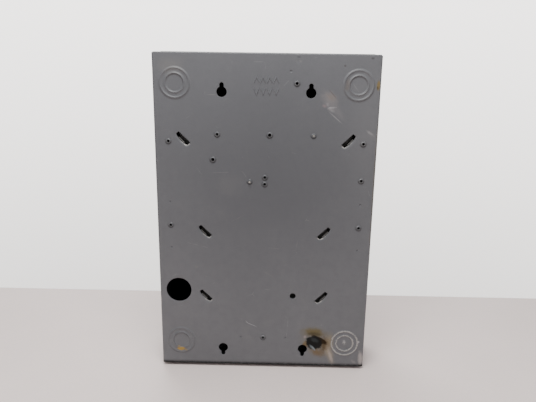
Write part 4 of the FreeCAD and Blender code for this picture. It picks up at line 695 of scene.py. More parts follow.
@dataclass
class Knockout(Round):
    """A concentric knock-out: two sheared circles whose edges stand out as soft beads."""

    outer: float = 23.7
    inner: float = 13.8
    bead: float = 1.45
    rubbed: float = 0.0
    domed: float = 0.0
    count: int = 84
    radii: tuple[float, ...] = (1.5, 4.0, 7.5, 10.5, 11.8, 12.6, 13.2, 13.55, 13.8, 14.05, 14.5, 15.2,
                                16.0, 16.9, 18.1, 19.4, 20.5, 21.5, 22.3, 22.9, 23.4, 23.7, 24.0, 24.5,
                                25.2, 26.1, 27.2)

    def ridge(self, reach: np.ndarray, centre: float, half: float) -> np.ndarray:
        """A rounded bead round a radius."""
        t = np.clip(np.abs(reach - centre) / half, 0.0, 1.0)
        return 0.5 + 0.5 * np.cos(math.pi * t)

    def height(self, points: np.ndarray) -> np.ndarray:
        """Two beads, the low land between them and the shear lines with their ties."""
        reach = self.radius(points)
        turn = np.arctan2(points[:, 1] - self.z, points[:, 0] - self.s)
        beads = self.ridge(reach, self.outer - 0.5, 2.7) + self.ridge(reach, self.inner + 1.2, 2.5)
        land = ease_in(reach, self.inner - 0.8, self.inner + 2)
        land *= ease_in(reach, self.outer + 0.8, self.outer - 2)
        height = self.bead * (0.84 * np.minimum(beads, 1.0) + 0.16 * land)
        for radius in (self.outer, self.inner):
            free = ease_in(np.abs(np.sin(turn + radius)), 0.12, 0.2)
            height -= 0.14 * free * hump(reach, radius, 0.22)
        return height + self.domed * hump(reach, 0.0, 5.5)

    def wear_and_highlight(self, points: np.ndarray) -> np.ndarray:
        """Rubbed crests."""
        reach = self.radius(points)
        crests = hump(reach, self.outer - 0.6, 1.3) + hump(reach, self.inner + 1.1, 1.3)
        return self.rubbed * np.clip(crests + 0.6 * self.domed * hump(reach, 0.0, 4.5), 0.0, 1.0)

    def grime_and_shade(self, points: np.ndarray) -> np.ndarray:
        """Painted shade in the shear lines, and on knock-outs that are not rubbed, painted shade at the foot of
        the outer bead on its lower side and inside the inner bead on its upper side.
        """
        reach = self.radius(points)
        lines = hump(reach, self.outer, 0.3) + hump(reach, self.inner, 0.3)
        rise = (points[:, 1] - self.z) / np.maximum(reach, 1.0)
        low = ease_in(rise, 0.2, -0.9) * hump(reach, self.outer + 1.5, 1.0)
        high = ease_in(rise, -0.2, 0.9) * hump(reach, self.inner - 0.5, 1.0)
        return np.clip(0.22 * lines + 0.3 * (low + high) * (self.rubbed == 0), 0.0, 1.0)


@dataclass
class SmallKnockout(Round):
    """A single knock-out in a side or end wall."""

    outer: float = 11.1
    count: int = 56
    radii: tuple[float, ...] = (2.0, 5.0, 8.0, 9.6, 10.4, 10.8, 11.1, 11.4, 11.9, 12.7, 13.6)

    def height(self, points: np.ndarray) -> np.ndarray:
        """A disc that stands a little out, with a shear line round it."""
        reach = self.radius(points)
        return 0.55 * ease_in(reach, self.outer + 0.5, self.outer - 0.9) - 0.5 * hump(reach, self.outer, 0.28)

    def grime_and_shade(self, points: np.ndarray) -> np.ndarray:
        """Painted shade in the shear line."""
        return 0.7 * hump(self.radius(points), self.outer, 0.35)


@dataclass
class Collar(Round):
    """A threaded collar pressed outwards round a screw's bore."""

    bore: float = 1.7
    rise: float = 1.5
    count: int = 32

    def __post_init__(self) -> None:
        """Puts the rings on the bore, the rim and the foot."""
        foot, rim = self.bore + 2.3, self.bore + 1.0
        self.radii = (self.bore, self.bore + 0.25, self.bore + 0.6, rim, rim + 0.35, (rim + foot) / 2 + 0.1,
                      foot, foot + 0.5, foot + 1.3, foot + 2.6)

    def hole(self) -> Optional[np.ndarray]:
        """The bore."""
        return ring(self.s, self.z, self.bore, self.count)

    def height(self, points: np.ndarray) -> np.ndarray:
        """A rounded cone up to a rim that turns over at the bore."""
        reach = self.radius(points)
        cone = ease_in(reach, self.bore + 2.5, self.bore + 0.9)
        lip = 0.3 * ease_in(reach, self.bore + 0.3, self.bore)
        return (self.rise - 0.05) * cone - lip

    def wear_and_highlight(self, points: np.ndarray) -> np.ndarray:
        """Paint rubbed off the rim."""
        return 0.45 * hump(self.radius(points), self.bore + 0.8, 0.5)

    def grime_and_shade(self, points: np.ndarray) -> np.ndarray:
        """Painted shade round the foot, heavier below as a painted shadow, and painted shade in the bore."""
        below = 0.55 + 0.45 * np.clip((self.z - points[:, 1]) / 3.0, -1.0, 1.0)
        reach = self.radius(points)
        foot = 0.75 * below * hump(reach, self.bore + 2.6, 1.1)
        return np.maximum(foot, 0.95 * hump(np.maximum(reach, self.bore), self.bore, 0.45))


@dataclass
class Dent(Round):
    """A small round dent, or a bump where depth is negative."""

    reach: float = 2.2
    depth: float = 0.8
    count: int = 24

    def __post_init__(self) -> None:
        """Puts the rings through the dent's side."""
        self.radii = tuple(self.reach * f for f in (0.2, 0.4, 0.6, 0.8, 1.0, 1.25, 1.7))

    def height(self, points: np.ndarray) -> np.ndarray:
        """A smooth cup."""
        return -self.depth * ease_in(self.radius(points), self.reach * 1.05, self.reach * 0.3)

    def grime_and_shade(self, points: np.ndarray) -> np.ndarray:
        """Painted shade in the cup of the deeper dents."""
        return (0.45 if self.depth > 0.5 else 0.0) * hump(self.radius(points), 0.0, self.reach * 0.6)


@dataclass
class SpotWeld(Round):
    """The print of a welding electrode."""

    rim: float = 2.7
    count: int = 24
    radii: tuple[float, ...] = (0.8, 1.6, 2.2, 2.7, 3.1, 3.7)

    def height(self, points: np.ndarray) -> np.ndarray:
        """A flat print with a raised rim."""
        reach = self.radius(points)
        return 0.1 * hump(reach, self.rim + 0.1, 0.35) - 0.16 * ease_in(reach, self.rim, self.rim - 0.5)

    def grime_and_shade(self, points: np.ndarray) -> np.ndarray:
        """Heat colour round the print."""
        return 0.35 * hump(self.radius(points), self.rim - 0.1, 0.9)


@dataclass
class Outlined(Pressing):
    """A pressing that follows an outline of its own."""

    def outline(self) -> np.ndarray:
        """The outline, counter-clockwise, which each kind gives."""
        raise NotImplementedError

    def past(self, points: np.ndarray) -> np.ndarray:
        """Distances from the outline, negative inside it."""
        return edge_distance(points, self.outline())

    def offsets(self) -> tuple[float, ...]:
        """How far from the outline the triangles follow it, which each kind gives."""
        raise NotImplementedError

    def loops(self) -> list[np.ndarray]:
        """The outline and offsets of it."""
        loop = self.outline()
        return [loop, *(grown(loop, by) for by in self.offsets())]

    def clear(self, points: np.ndarray) -> np.ndarray:
        """Plain points outside the last offset."""
        return self.past(points) > self.offsets()[-1] + 1.2


@dataclass
class CutOut(Outlined):
    """A hole of any outline with a rolled edge."""

    corners: np.ndarray = field(default_factory=lambda: np.zeros((0, 2)))
    roll: float = 0.22
    rubbed: float = 0.35
    steps: tuple[float, ...] = (0.35, 0.9, 1.8, 3.2)

    def outline(self) -> np.ndarray:
        """The outline that was given."""
        return self.corners

    def offsets(self) -> tuple[float, ...]:
        """Close together at the edge."""
        return self.steps

    def hole(self) -> Optional[np.ndarray]:
        """All of it."""
        return self.corners

    def height(self, points: np.ndarray) -> np.ndarray:
        """The rolled edge that punching leaves."""
        return -self.roll * np.exp(-np.abs(self.past(points)) / 0.45)

    def wear_and_highlight(self, points: np.ndarray) -> np.ndarray:
        """Bare metal at the edge."""
        return self.rubbed * np.exp(-np.abs(self.past(points)) / 0.5)


@dataclass
class Lance(Outlined):
    """A slanting slot whose lower side is rolled into a lip, widest at its lower end."""

    way: int = 1
    length: float = 26.0
    width: float = 6.4
    bulge: float = 2.8

    def __post_init__(self) -> None:
        """Sets the directions that run up the slot and from it towards its lower side."""
        self.along = np.array([self.way, 1.0]) * math.sqrt(0.5)
        self.across = np.array([self.way, -1.0]) * math.sqrt(0.5)

    def at(self, up: float, down: float) -> tuple[float, float]:
        """A point given along and across the slot."""
        spot = np.array([self.s, self.z]) + self.along * up + self.across * down
        return float(spot[0]), float(spot[1])

    def outline(self) -> np.ndarray:
        """The slot: straight above, bowed below."""
        half, wide = self.length / 2, self.width / 2
        points = [self.at(half - 0.6, -wide * 0.85), self.at(-half, -wide)]
        for t in np.linspace(0.08, math.pi - 0.08, 15):
            bow = (self.bulge + wide * 0.3) * math.sin(t) ** 0.8
            points.append(self.at(-half * math.cos(t), wide * 0.7 + bow - wide * 0.2 * t / math.pi))
        loop = resampled(points, 1.6)
        area = np.sum(loop[:, 0] * np.roll(loop[:, 1], -1) - loop[:, 1] * np.roll(loop[:, 0], -1))
        return loop if area > 0 else loop[::-1]

    def offsets(self) -> tuple[float, ...]:
        """Close together on the lip."""
        return 0.3, 0.7, 1.2, 1.8, 2.6, 3.8

    def hole(self) -> Optional[np.ndarray]:
        """The slot."""
        return self.outline()

    def lip(self, points: np.ndarray, reach: float) -> np.ndarray:
        """How much a point is on the rolled lip."""
        rest = points - np.array([self.s, self.z])
        up, down = rest @ self.along, rest @ self.across
        below = ease_in(down, 0.6, 2.2)
        lower = 0.55 + 0.45 * ease_in(up, self.length / 2, -self.length / 3)
        end = ease_in(up, 2.4 - self.length / 2, -self.length / 2) * ease_in(down, -2.6, -0.6)
        near = hump(np.maximum(self.past(points), 0.0), 0.0, reach)
        return np.clip(below * lower + end, 0.0, 1.0) * near

    def height(self, points: np.ndarray) -> np.ndarray:
        """The lip rolls inwards at the slot."""
        return -1.2 * self.lip(points, 1.9) - 0.16 * np.exp(-np.maximum(self.past(points), 0.0) / 0.5)

    def wear_and_highlight(self, points: np.ndarray) -> np.ndarray:
        """A painted highlight on the lip, fading towards the slot's upper end."""
        up = (points - np.array([self.s, self.z])) @ self.along
        fade = 0.55 + 0.45 * ease_in(up, self.length * 0.1, -self.length * 0.42)
        return fade * self.lip(points, 1.7)


@dataclass
class Chevron(Outlined):
    """One embossed feed arrow."""

    way: int = 1
    width: float = 8.0
    tall: float = 13.0
    stroke: float = 3.0
    relief: float = 0.95

    def outline(self) -> np.ndarray:
        """The arrow's outline."""
        half, top = self.width / 2, self.tall / 2
        corners = [(0, top), (-half, self.stroke - top), (-half, -top), (0, top - self.stroke * 1.4),
                   (half, -top), (half, self.stroke - top)]
        loop = resampled([(self.s + x, self.z + z * self.way) for x, z in corners], 1.1)
        return loop if self.way > 0 else loop[::-1]

    def offsets(self) -> tuple[float, ...]:
        """The crest and the foot of the slopes."""
        return -0.5, 0.6

    def clear(self, points: np.ndarray) -> np.ndarray:
        """Plain points away from the arrow."""
        return self.past(points) > 1.2

    def height(self, points: np.ndarray) -> np.ndarray:
        """A soft ridge."""
        return self.relief * ease_in(self.past(points), 0.6, -0.75)

    def wear_and_highlight(self, points: np.ndarray) -> np.ndarray:
        """A touch of wear on the ridge."""
        return 0.16 * ease_in(self.past(points), -0.2, -0.9)


@dataclass
class Fold:
    """The unfolded profile of a bent sheet: straight runs joined by bends.

    The path is followed with the sheet's outer face on its left.
    """

    corners: tuple[tuple[float, float], ...]
    radii: tuple[float, ...]
    origin_run: int

    def __post_init__(self) -> None:
        """Works out the runs and bends, and where s = 0 lies: in the middle of origin_run."""
        points = [np.array(c, float) for c in self.corners]
        self.spans: list[tuple[str, float, np.ndarray, np.ndarray, float]] = []
        here = points[0]
        total = 0.0
        for i in range(1, len(points)):
            along = points[i] - points[i - 1]
            along /= np.linalg.norm(along)
            radius = self.radii[i - 1] if i < len(points) - 1 else 0.0
            end = points[i] - along * radius
            length = float(np.linalg.norm(end - here))
            self.spans.append(("run", length, here, along, 0.0))
            if i - 1 == self.origin_run:
                middle = total + length / 2
            total += length
            here = end
            if radius:
                after = points[i + 1] - points[i]
                after /= np.linalg.norm(after)
                side = float(along[0] * after[1] - along[1] * after[0])
                self.spans.append(("bend", radius * math.pi / 2, here, along, math.copysign(radius, side)))
                total += radius * math.pi / 2
                here = points[i] + after * radius
        self.start, self.length = -middle, total

    def columns(self, pitch: float) -> np.ndarray:
        """The s values of plain columns: close together round the bends."""
        places = [self.start]
        at = self.start
        for kind, length, *_ in self.spans:
            count = max(1, round(length / pitch)) if kind == "run" else 7
            places += [at + length * (k + 1) / count for k in range(count)]
            at += length
        return np.array(places)

    def locate(self, s: np.ndarray) -> tuple[np.ndarray, np.ndarray]:
        """Points on the outer face and its outward normals.

        Args:
            s: distances along the unfolded profile.

        Returns:
            The points and the normals, one row each.
        """
        spots, normals = np.zeros((len(s), 2)), np.zeros((len(s), 2))
        at = self.start
        for i, (kind, length, here, along, bend) in enumerate(self.spans):
            last = i == len(self.spans) - 1
            chosen = ((s >= at) | (i == 0)) & ((s < at + length) | last)
            t = s[chosen] - at
            left = np.array([-along[1], along[0]])
            if kind == "run":
                spots[chosen] = here + t[:, None] * along
                normals[chosen] = left
            else:
                radius, way = abs(bend), math.copysign(1.0, bend)
                turn = (t / radius)[:, None]
                outwards = np.cos(turn) * -left * way + np.sin(turn) * along
                spots[chosen] = here + left * radius * way + radius * outwards
                normals[chosen] = -outwards * way
            at += length
        return spots, normals


@dataclass
class PressedSheet:
    """A folded sheet of steel with its pressings, as one closed skin."""

    fold: Fold
    low: float
    high: float
    thick: float = 1.5
    pitch: float = 6.0
    pressings: list[Pressing] = field(default_factory=list)
    rubbed_edge: float = 0.3
    waviness: float = 0.14
    waves: tuple[float, float] = (61.0, 83.0)
    # painted shade: the next two fields set the strength and height of a dark band along the sheet's bottom
    # edge, which stands in for the shadow under the box
    painted_foot_shade: float = 0.0
    foot_shade_height: float = 3.4
    reach: float = 34.0

    def flat_mesh(self) -> tuple[np.ndarray, list[tuple[int, int, int]]]:
        """Triangles on the unfolded sheet.

        Returns:
            The points (s, z) and the triangles.
        """
        columns = self.fold.columns(self.pitch)
        rows = np.linspace(self.low, self.high, max(2, round((self.high - self.low) / self.pitch)) + 1)
        s, z = (a.ravel() for a in np.meshgrid(columns, rows))
        plain = np.stack([s, z], axis=1)
        border = (s == columns[0]) | (s == columns[-1]) | (z == rows[0]) | (z == rows[-1])
        keep = np.ones(len(plain), bool)
        for item in self.pressings:
            keep &= item.clear(plain) | border
        points, edges, holes = [plain[keep]], [], []
        count = int(keep.sum())
        for item in self.pressings:
            for loop in item.loops():
                size = len(loop)
                edges += [(count + i, count + (i + 1) % size) for i in range(size)]
                points.append(loop)
                count += size
            if item.hole() is not None:
                holes.append(item.hole())
        flat = np.concatenate(points)
        verts, _, faces, *_ = delaunay_2d_cdt([Vector(p) for p in flat.tolist()], edges, [], 0, 1e-5)
        made = np.array([tuple(v) for v in verts])
        corners = np.array([tuple(f) for f in faces])
        middles = made[corners].mean(axis=1)
        solid = np.ones(len(corners), bool)
        for outline in holes:
            low, high = outline.min(axis=0) - 0.1, outline.max(axis=0) + 0.1
            chosen = np.flatnonzero(((middles > low) & (middles < high)).all(axis=1))
            solid[chosen[edge_distance(middles[chosen], outline) < 0]] = False
        corners = corners[solid]
        a, b, c = (made[corners[:, i]] for i in range(3))
        area = (b - a)[:, 0] * (c - a)[:, 1] - (b - a)[:, 1] * (c - a)[:, 0]
        real = np.abs(area) > 1e-7
        corners, area = corners[real], area[real]
        corners[area < 0] = corners[area < 0][:, ::-1]
        used = np.unique(corners)
        remap = np.full(len(made), -1)
        remap[used] = np.arange(len(used))
        return made[used], [tuple(f) for f in remap[corners].tolist()]

    def build(self, name: str, material: bpy.types.Material,
              to_space: Callable[[np.ndarray, np.ndarray], np.ndarray]) -> bpy.types.Object:
        """Folds the sheet and closes it.

        Args:
            name: the piece's name.
            material: its finish.
            to_space: turns profile points and the other coordinate into X, Y and Z.

        Returns:
            The sheet as one object.
        """
        flat, faces = self.flat_mesh()
        height, wear_and_highlight, grime_and_shade = np.zeros((3, len(flat)))
        for item in self.pressings:
            close = np.flatnonzero(np.abs(flat - np.array([item.s, item.z])).max(axis=1) < self.reach)
            near = flat[close]
            height[close] += item.height(near)
            wear_and_highlight[close] = np.maximum(wear_and_highlight[close], item.wear_and_highlight(near))
            grime_and_shade[close] = np.maximum(grime_and_shade[close], item.grime_and_shade(near))
        wave = np.sin(flat[:, 0] / self.waves[0] + 0.7) * np.sin(flat[:, 1] / self.waves[1] + 0.4)
        fade = ease_in(self.high - np.abs(flat[:, 1] - (self.high + self.low) / 2) * 2, self.low, self.low + 60)
        height -= self.waviness * (0.5 + 0.5 * wave) * fade
        edge = np.minimum(flat[:, 1] - self.low, self.high - flat[:, 1])
        wear_and_highlight = np.maximum(wear_and_highlight, self.rubbed_edge * np.exp(-edge / 0.8))
        # painted shade: a dark band along the bottom edge for the shadow under the box
        grime_and_shade = np.maximum(grime_and_shade, self.painted_foot_shade * hump(flat[:, 1], self.low, self.foot_shade_height))
        spots, normals = self.fold.locate(flat[:, 0])
        outer = to_space(spots + normals * height[:, None], flat[:, 1])
        inner = to_space(spots + normals * (height - self.thick)[:, None], flat[:, 1])
        count = len(flat)
        skins = list(faces) + [(c + count, b + count, a + count) for a, b, c in faces]
        rims: dict[tuple[int, int], None] = {}
        for face in faces:
            for a, b in zip(face, (*face[1:], face[0])):
                if (b, a) in rims:
                    del rims[(b, a)]
                else:
                    rims[(a, b)] = None
        skins += [(b, a, a + count, b + count) for a, b in rims]
        values = {"wear_and_highlight": np.concatenate([wear_and_highlight, wear_and_highlight * 0]), "grime_and_shade": np.concatenate([grime_and_shade, grime_and_shade * 0])}
        piece = mesh_piece(name, np.concatenate([outer, inner]), skins, material, values)
        with editing(piece.data) as work:
            bmesh.ops.recalc_face_normals(work, faces=work.faces)
        smooth(piece.data)
        return piece


# ---------------------------------------------------------------- sub-assemblies


# Where the sheets are pressed, in millimetres from their middle. A bore or a hole also has its radius.
LANCES = ((134.2, 137.3), (100.5, -19.8), (100.5, -137.3))
BORES = ((158.2, 132.2, 2.0), (-158.2, 132.2, 2.0), (-158.2, 71.3, 2.0), (158.5, -9.6, 2.0),
         (-158.5, -9.6, 2.0), (0, -216.5, 1.9), (78.6, 144.3, 2.0), (-6.4, 144.3, 2.4), (86.1, 103, 2.4),
         (0.6, 74.6, 2.0), (0.6, 63.2, 2.0), (-48.4, 226.3, 2.1), (25.6, 67, 1.7), (-77.4, 144.3, 1.7))
DENTS = ((158.5, 30.4), (158.5, -49.6), (-158.5, 30.4), (-158.5, -49.6), (40, -216.5), (-40, -216.5),
         (-38.4, 244.8))
PLAIN_HOLE = (-51, -136, 5.2)
OPEN_KNOCKOUT = (148.1, -128, 21.85)
ARROW_PITCH = 10.4
ARROW_ROWS = ((231.5, 1), (213.0, -1))
COVER_SCREW_HEIGHTS = (-238.0, 0.0, 238.0)
SIDE_KNOCKOUT_HEIGHTS = (190.5, 228.5)
SPOT_WELD_DEPTHS = (-18.0, -47.0, -76.0)
END_KNOCKOUTS = (-62.0, 62.0)
SMALL_END_KNOCKOUTS = (-120.0, 0.0, 120.0)


@dataclass
class Enclosure:
    """The folded box: the wrap with everything pressed in its back, and the end walls."""

    finishes: Finishes
    half_width: float = 181.0
    half_height: float = 270.5
    depth: float = 95.0
    bend: float = 3.0
    front_bend: float = 1.9
    front_flange: float = 16.0
    end_flange: float = 14.0
    steel: float = 1.5
    knockout_x: float = 145.8
    knockout_z: float = 224.7
    keyhole_x: float = 71.1
    keyhole_top: float = 211.7
    keyhole_low: float = -238.2
    keyhole_head: float = 8.2
    keyhole_slot: float = 3.5
    keyhole_travel: float = 11.2
    wall_knockout_y: float = -45.0

    def keyhole(self, x: float, z: float, way: int) -> CutOut:
        """A wall keyhole.

        Args:
            x: its middle.
            z: the middle of the screw head's hole.
            way: +1 where the slot goes up.

        Returns:
            The hole with its rolled edge.
        """
        head, slot, travel = self.keyhole_head, self.keyhole_slot, self.keyhole_travel
        meet = math.asin(slot / head)
        points = [(x + head * math.sin(meet + t), z + way * head * math.cos(meet + t))
                  for t in np.linspace(0, 2 * math.pi - 2 * meet, 40)]
        points += [(x - slot * math.cos(t), z + way * (travel + slot * math.sin(t)))
                   for t in np.linspace(0, math.pi, 14)]
        loop = np.array(points if way < 0 else points[::-1])
        return CutOut(x, z, loop)

    def back_pressings(self) -> list[Pressing]:
        """Everything in the back, where s is X."""
        made: list[Pressing] = []
        for x in (-self.knockout_x, self.knockout_x):
            for z in (-self.knockout_z, self.knockout_z):
                is_worn = x < 0 and z < 0
                made.append(Knockout(x, z, rubbed=1.6 * is_worn, domed=0.8 * is_worn))
        for x in (-self.keyhole_x, self.keyhole_x):
            made += [self.keyhole(x, self.keyhole_top, 1), self.keyhole(x, self.keyhole_low, -1)]
        for x, z in LANCES:
            made += [Lance(x, z, way=1), Lance(-x, z, way=-1)]
        made += [Collar(x, z, bore=bore) for x, z, bore in BORES]
        made += [Dent(x, z) for x, z in DENTS]
        made += [Dent(-49, 259, reach=5.0, depth=0.35), Dent(149, -183, reach=4.0, depth=-0.25)]
        made.append(CutOut(*PLAIN_HOLE[:2], ring(*PLAIN_HOLE, 36)))
        made.append(CutOut(*OPEN_KNOCKOUT[:2], ring(*OPEN_KNOCKOUT, 96), 0.4, 0.5))
        for i in range(4):
            made += [Chevron(ARROW_PITCH * (i - 1.5), z, way=way) for z, way in ARROW_ROWS]
        return made

    def side_pressings(self) -> list[Pressing]:
        """Knock-outs, spot welds and screw holes in the sides and flanges."""
        made: list[Pressing] = []
        bend = self.bend * math.pi / 2
        wall = self.half_width - self.bend + bend - self.bend
        flange = wall + self.depth - self.front_bend + self.front_bend * math.pi / 2
        for way in (-1, 1):
            for z in SIDE_KNOCKOUT_HEIGHTS:
                made += [SmallKnockout(way * (wall - self.wall_knockout_y), z * up) for up in (-1, 1)]
            weld = self.half_height - self.end_flange / 2 - 1.0
            for y in SPOT_WELD_DEPTHS:
                made += [SpotWeld(way * (wall - y), weld * up) for up in (-1, 1)]
            for z in COVER_SCREW_HEIGHTS:
                s = way * (flange + 8.0 - self.front_bend)
                made.append(CutOut(s, z, ring(s, z, 1.95, 20), 0.1, 0.0, (0.4, 1.2)))
        return made

    def build_wrap(self) -> bpy.types.Object:
        """The back and both sides from one sheet."""
        w, d, lip = self.half_width, self.depth, self.half_width - self.front_flange
        fold = Fold(((-lip, -d), (-w, -d), (-w, 0), (w, 0), (w, -d), (lip, -d)),
                    (self.front_bend, self.bend, self.bend, self.front_bend), 2)
        # the wrap gets a band of painted shade along its bottom edge, for the shadow under the box
        sheet = PressedSheet(fold, -self.half_height, self.half_height, self.steel,
                             pressings=self.back_pressings() + self.side_pressings(), painted_foot_shade=1.4)
        return sheet.build("wrap_sheet", self.finishes[Slot.BOX_PAINT],
                           lambda spots, z: np.stack([spots[:, 0], spots[:, 1], z], axis=1))

    def build_end(self, way: int, name: str) -> bpy.types.Object:
        """The top or bottom wall: a plate folded at its back and front, with knock-outs."""
        outer = self.half_height * way
        edge = outer - self.end_flange * way
        back, front, half = -1.8, -94.7, 179.2
        path = ((back, edge), (back, outer), (front, outer), (front, edge))
        if way < 0:
            path = path[::-1]
        fold = Fold(path, (1.9, 1.9), 1)
        middle = (back + front) / 2
        toward = -1.0 if way > 0 else 1.0
        s = toward * (self.wall_knockout_y - middle)
        items: list[Pressing] = [Knockout(s, x, bead=0.75) for x in END_KNOCKOUTS]
        items += [SmallKnockout(s, x) for x in SMALL_END_KNOCKOUTS]
        sheet = PressedSheet(fold, -half, half, self.steel, pressings=items, waviness=0.1)
        return sheet.build(name, self.finishes.plain_box,
                           lambda spots, x: np.stack([x, spots[:, 0], spots[:, 1]], axis=1))

    def build(self) -> None:
        """Builds the box and hands it over."""
        place(self.build_wrap(), "cabinet", Slot.BOX_PAINT, ["enclosure_wrap"])
        place(self.build_end(1, "top_end_sheet"), "cabinet", Slot.BOX_PAINT, ["top_end_wall"])
        place(self.build_end(-1, "bottom_end_sheet"), "cabinet", Slot.BOX_PAINT, ["bottom_end_wall"])


class Edge(Enum):
    """How round the edges of a refined piece are, in millimetres."""

    SHEET = 0.35
    MOULDED = 0.4
    MACHINED = 0.25


@dataclass
class Refined:
    """A CAD node's shape with its corners eased, so that they catch the light."""

    node: str
    edge: Edge
    finishes: Finishes
    crease: float = 35.0
    flat_angle: float = 0.6
    same_point: float = 0.00001
    sliver: float = 0.000001

    def build(self) -> bpy.types.Object:
        """Copies the node, merges it and rounds its edges.

        Returns:
            The piece that stands for the node.
        """
        source = frame["nodes"][self.node]
        name = f"{self.node}_eased"
        mesh = source.data.copy()
        with editing(mesh) as work:
            bmesh.ops.remove_doubles(work, verts=work.verts, dist=self.same_point)
            bmesh.ops.dissolve_limit(work, angle_limit=math.radians(self.flat_angle), verts=work.verts,
                                     edges=work.edges)
        mesh.materials.clear()
        for _ in range(2):
            mesh.materials.append(self.finishes.for_node(self.node))
        raw = linked(name + "_raw", mesh)
        round_off = raw.modifiers.new("round_off", "BEVEL")
        round_off.width = self.edge.value * MM
        round_off.segments = 2
        round_off.limit_method = "ANGLE"
        round_off.angle_limit = math.radians(self.crease)
        round_off.use_clamp_overlap = True
        round_off.material = 1
        made = applied(raw, name)
        with editing(made) as work:
            bmesh.ops.remove_doubles(work, verts=work.verts, dist=self.sliver)
        self.mark_edges(made)
        smooth(made, 40.0)
        level = linked(name + "_level", made)
        level.modifiers.new("level_normals", "WEIGHTED_NORMAL").keep_sharp = True
        piece = linked(name, applied(level, name))
        return place(piece, source["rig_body"], self.finishes.of(self.node), [self.node])

    def mark_edges(self, mesh: bpy.types.Mesh) -> None:
        """Writes where the rounded edges are as the attribute that the finishes read as wear.

        Args:
            mesh: the mesh whose rounded faces have material 1.
        """
        rounded = np.zeros(len(mesh.polygons), np.int32)
        mesh.polygons.foreach_get("material_index", rounded)
        wear_and_highlight = np.ones(len(mesh.vertices), np.float32)
        for face in mesh.polygons:
            if rounded[face.index] == 0:
                wear_and_highlight[list(face.vertices)] = 0.0
        mesh.attributes.new("wear_and_highlight", "FLOAT", "POINT").data.foreach_set("value", wear_and_highlight)
        mesh.polygons.foreach_set("material_index", np.zeros(len(mesh.polygons), np.int32))
        mesh.materials.pop(index=1)


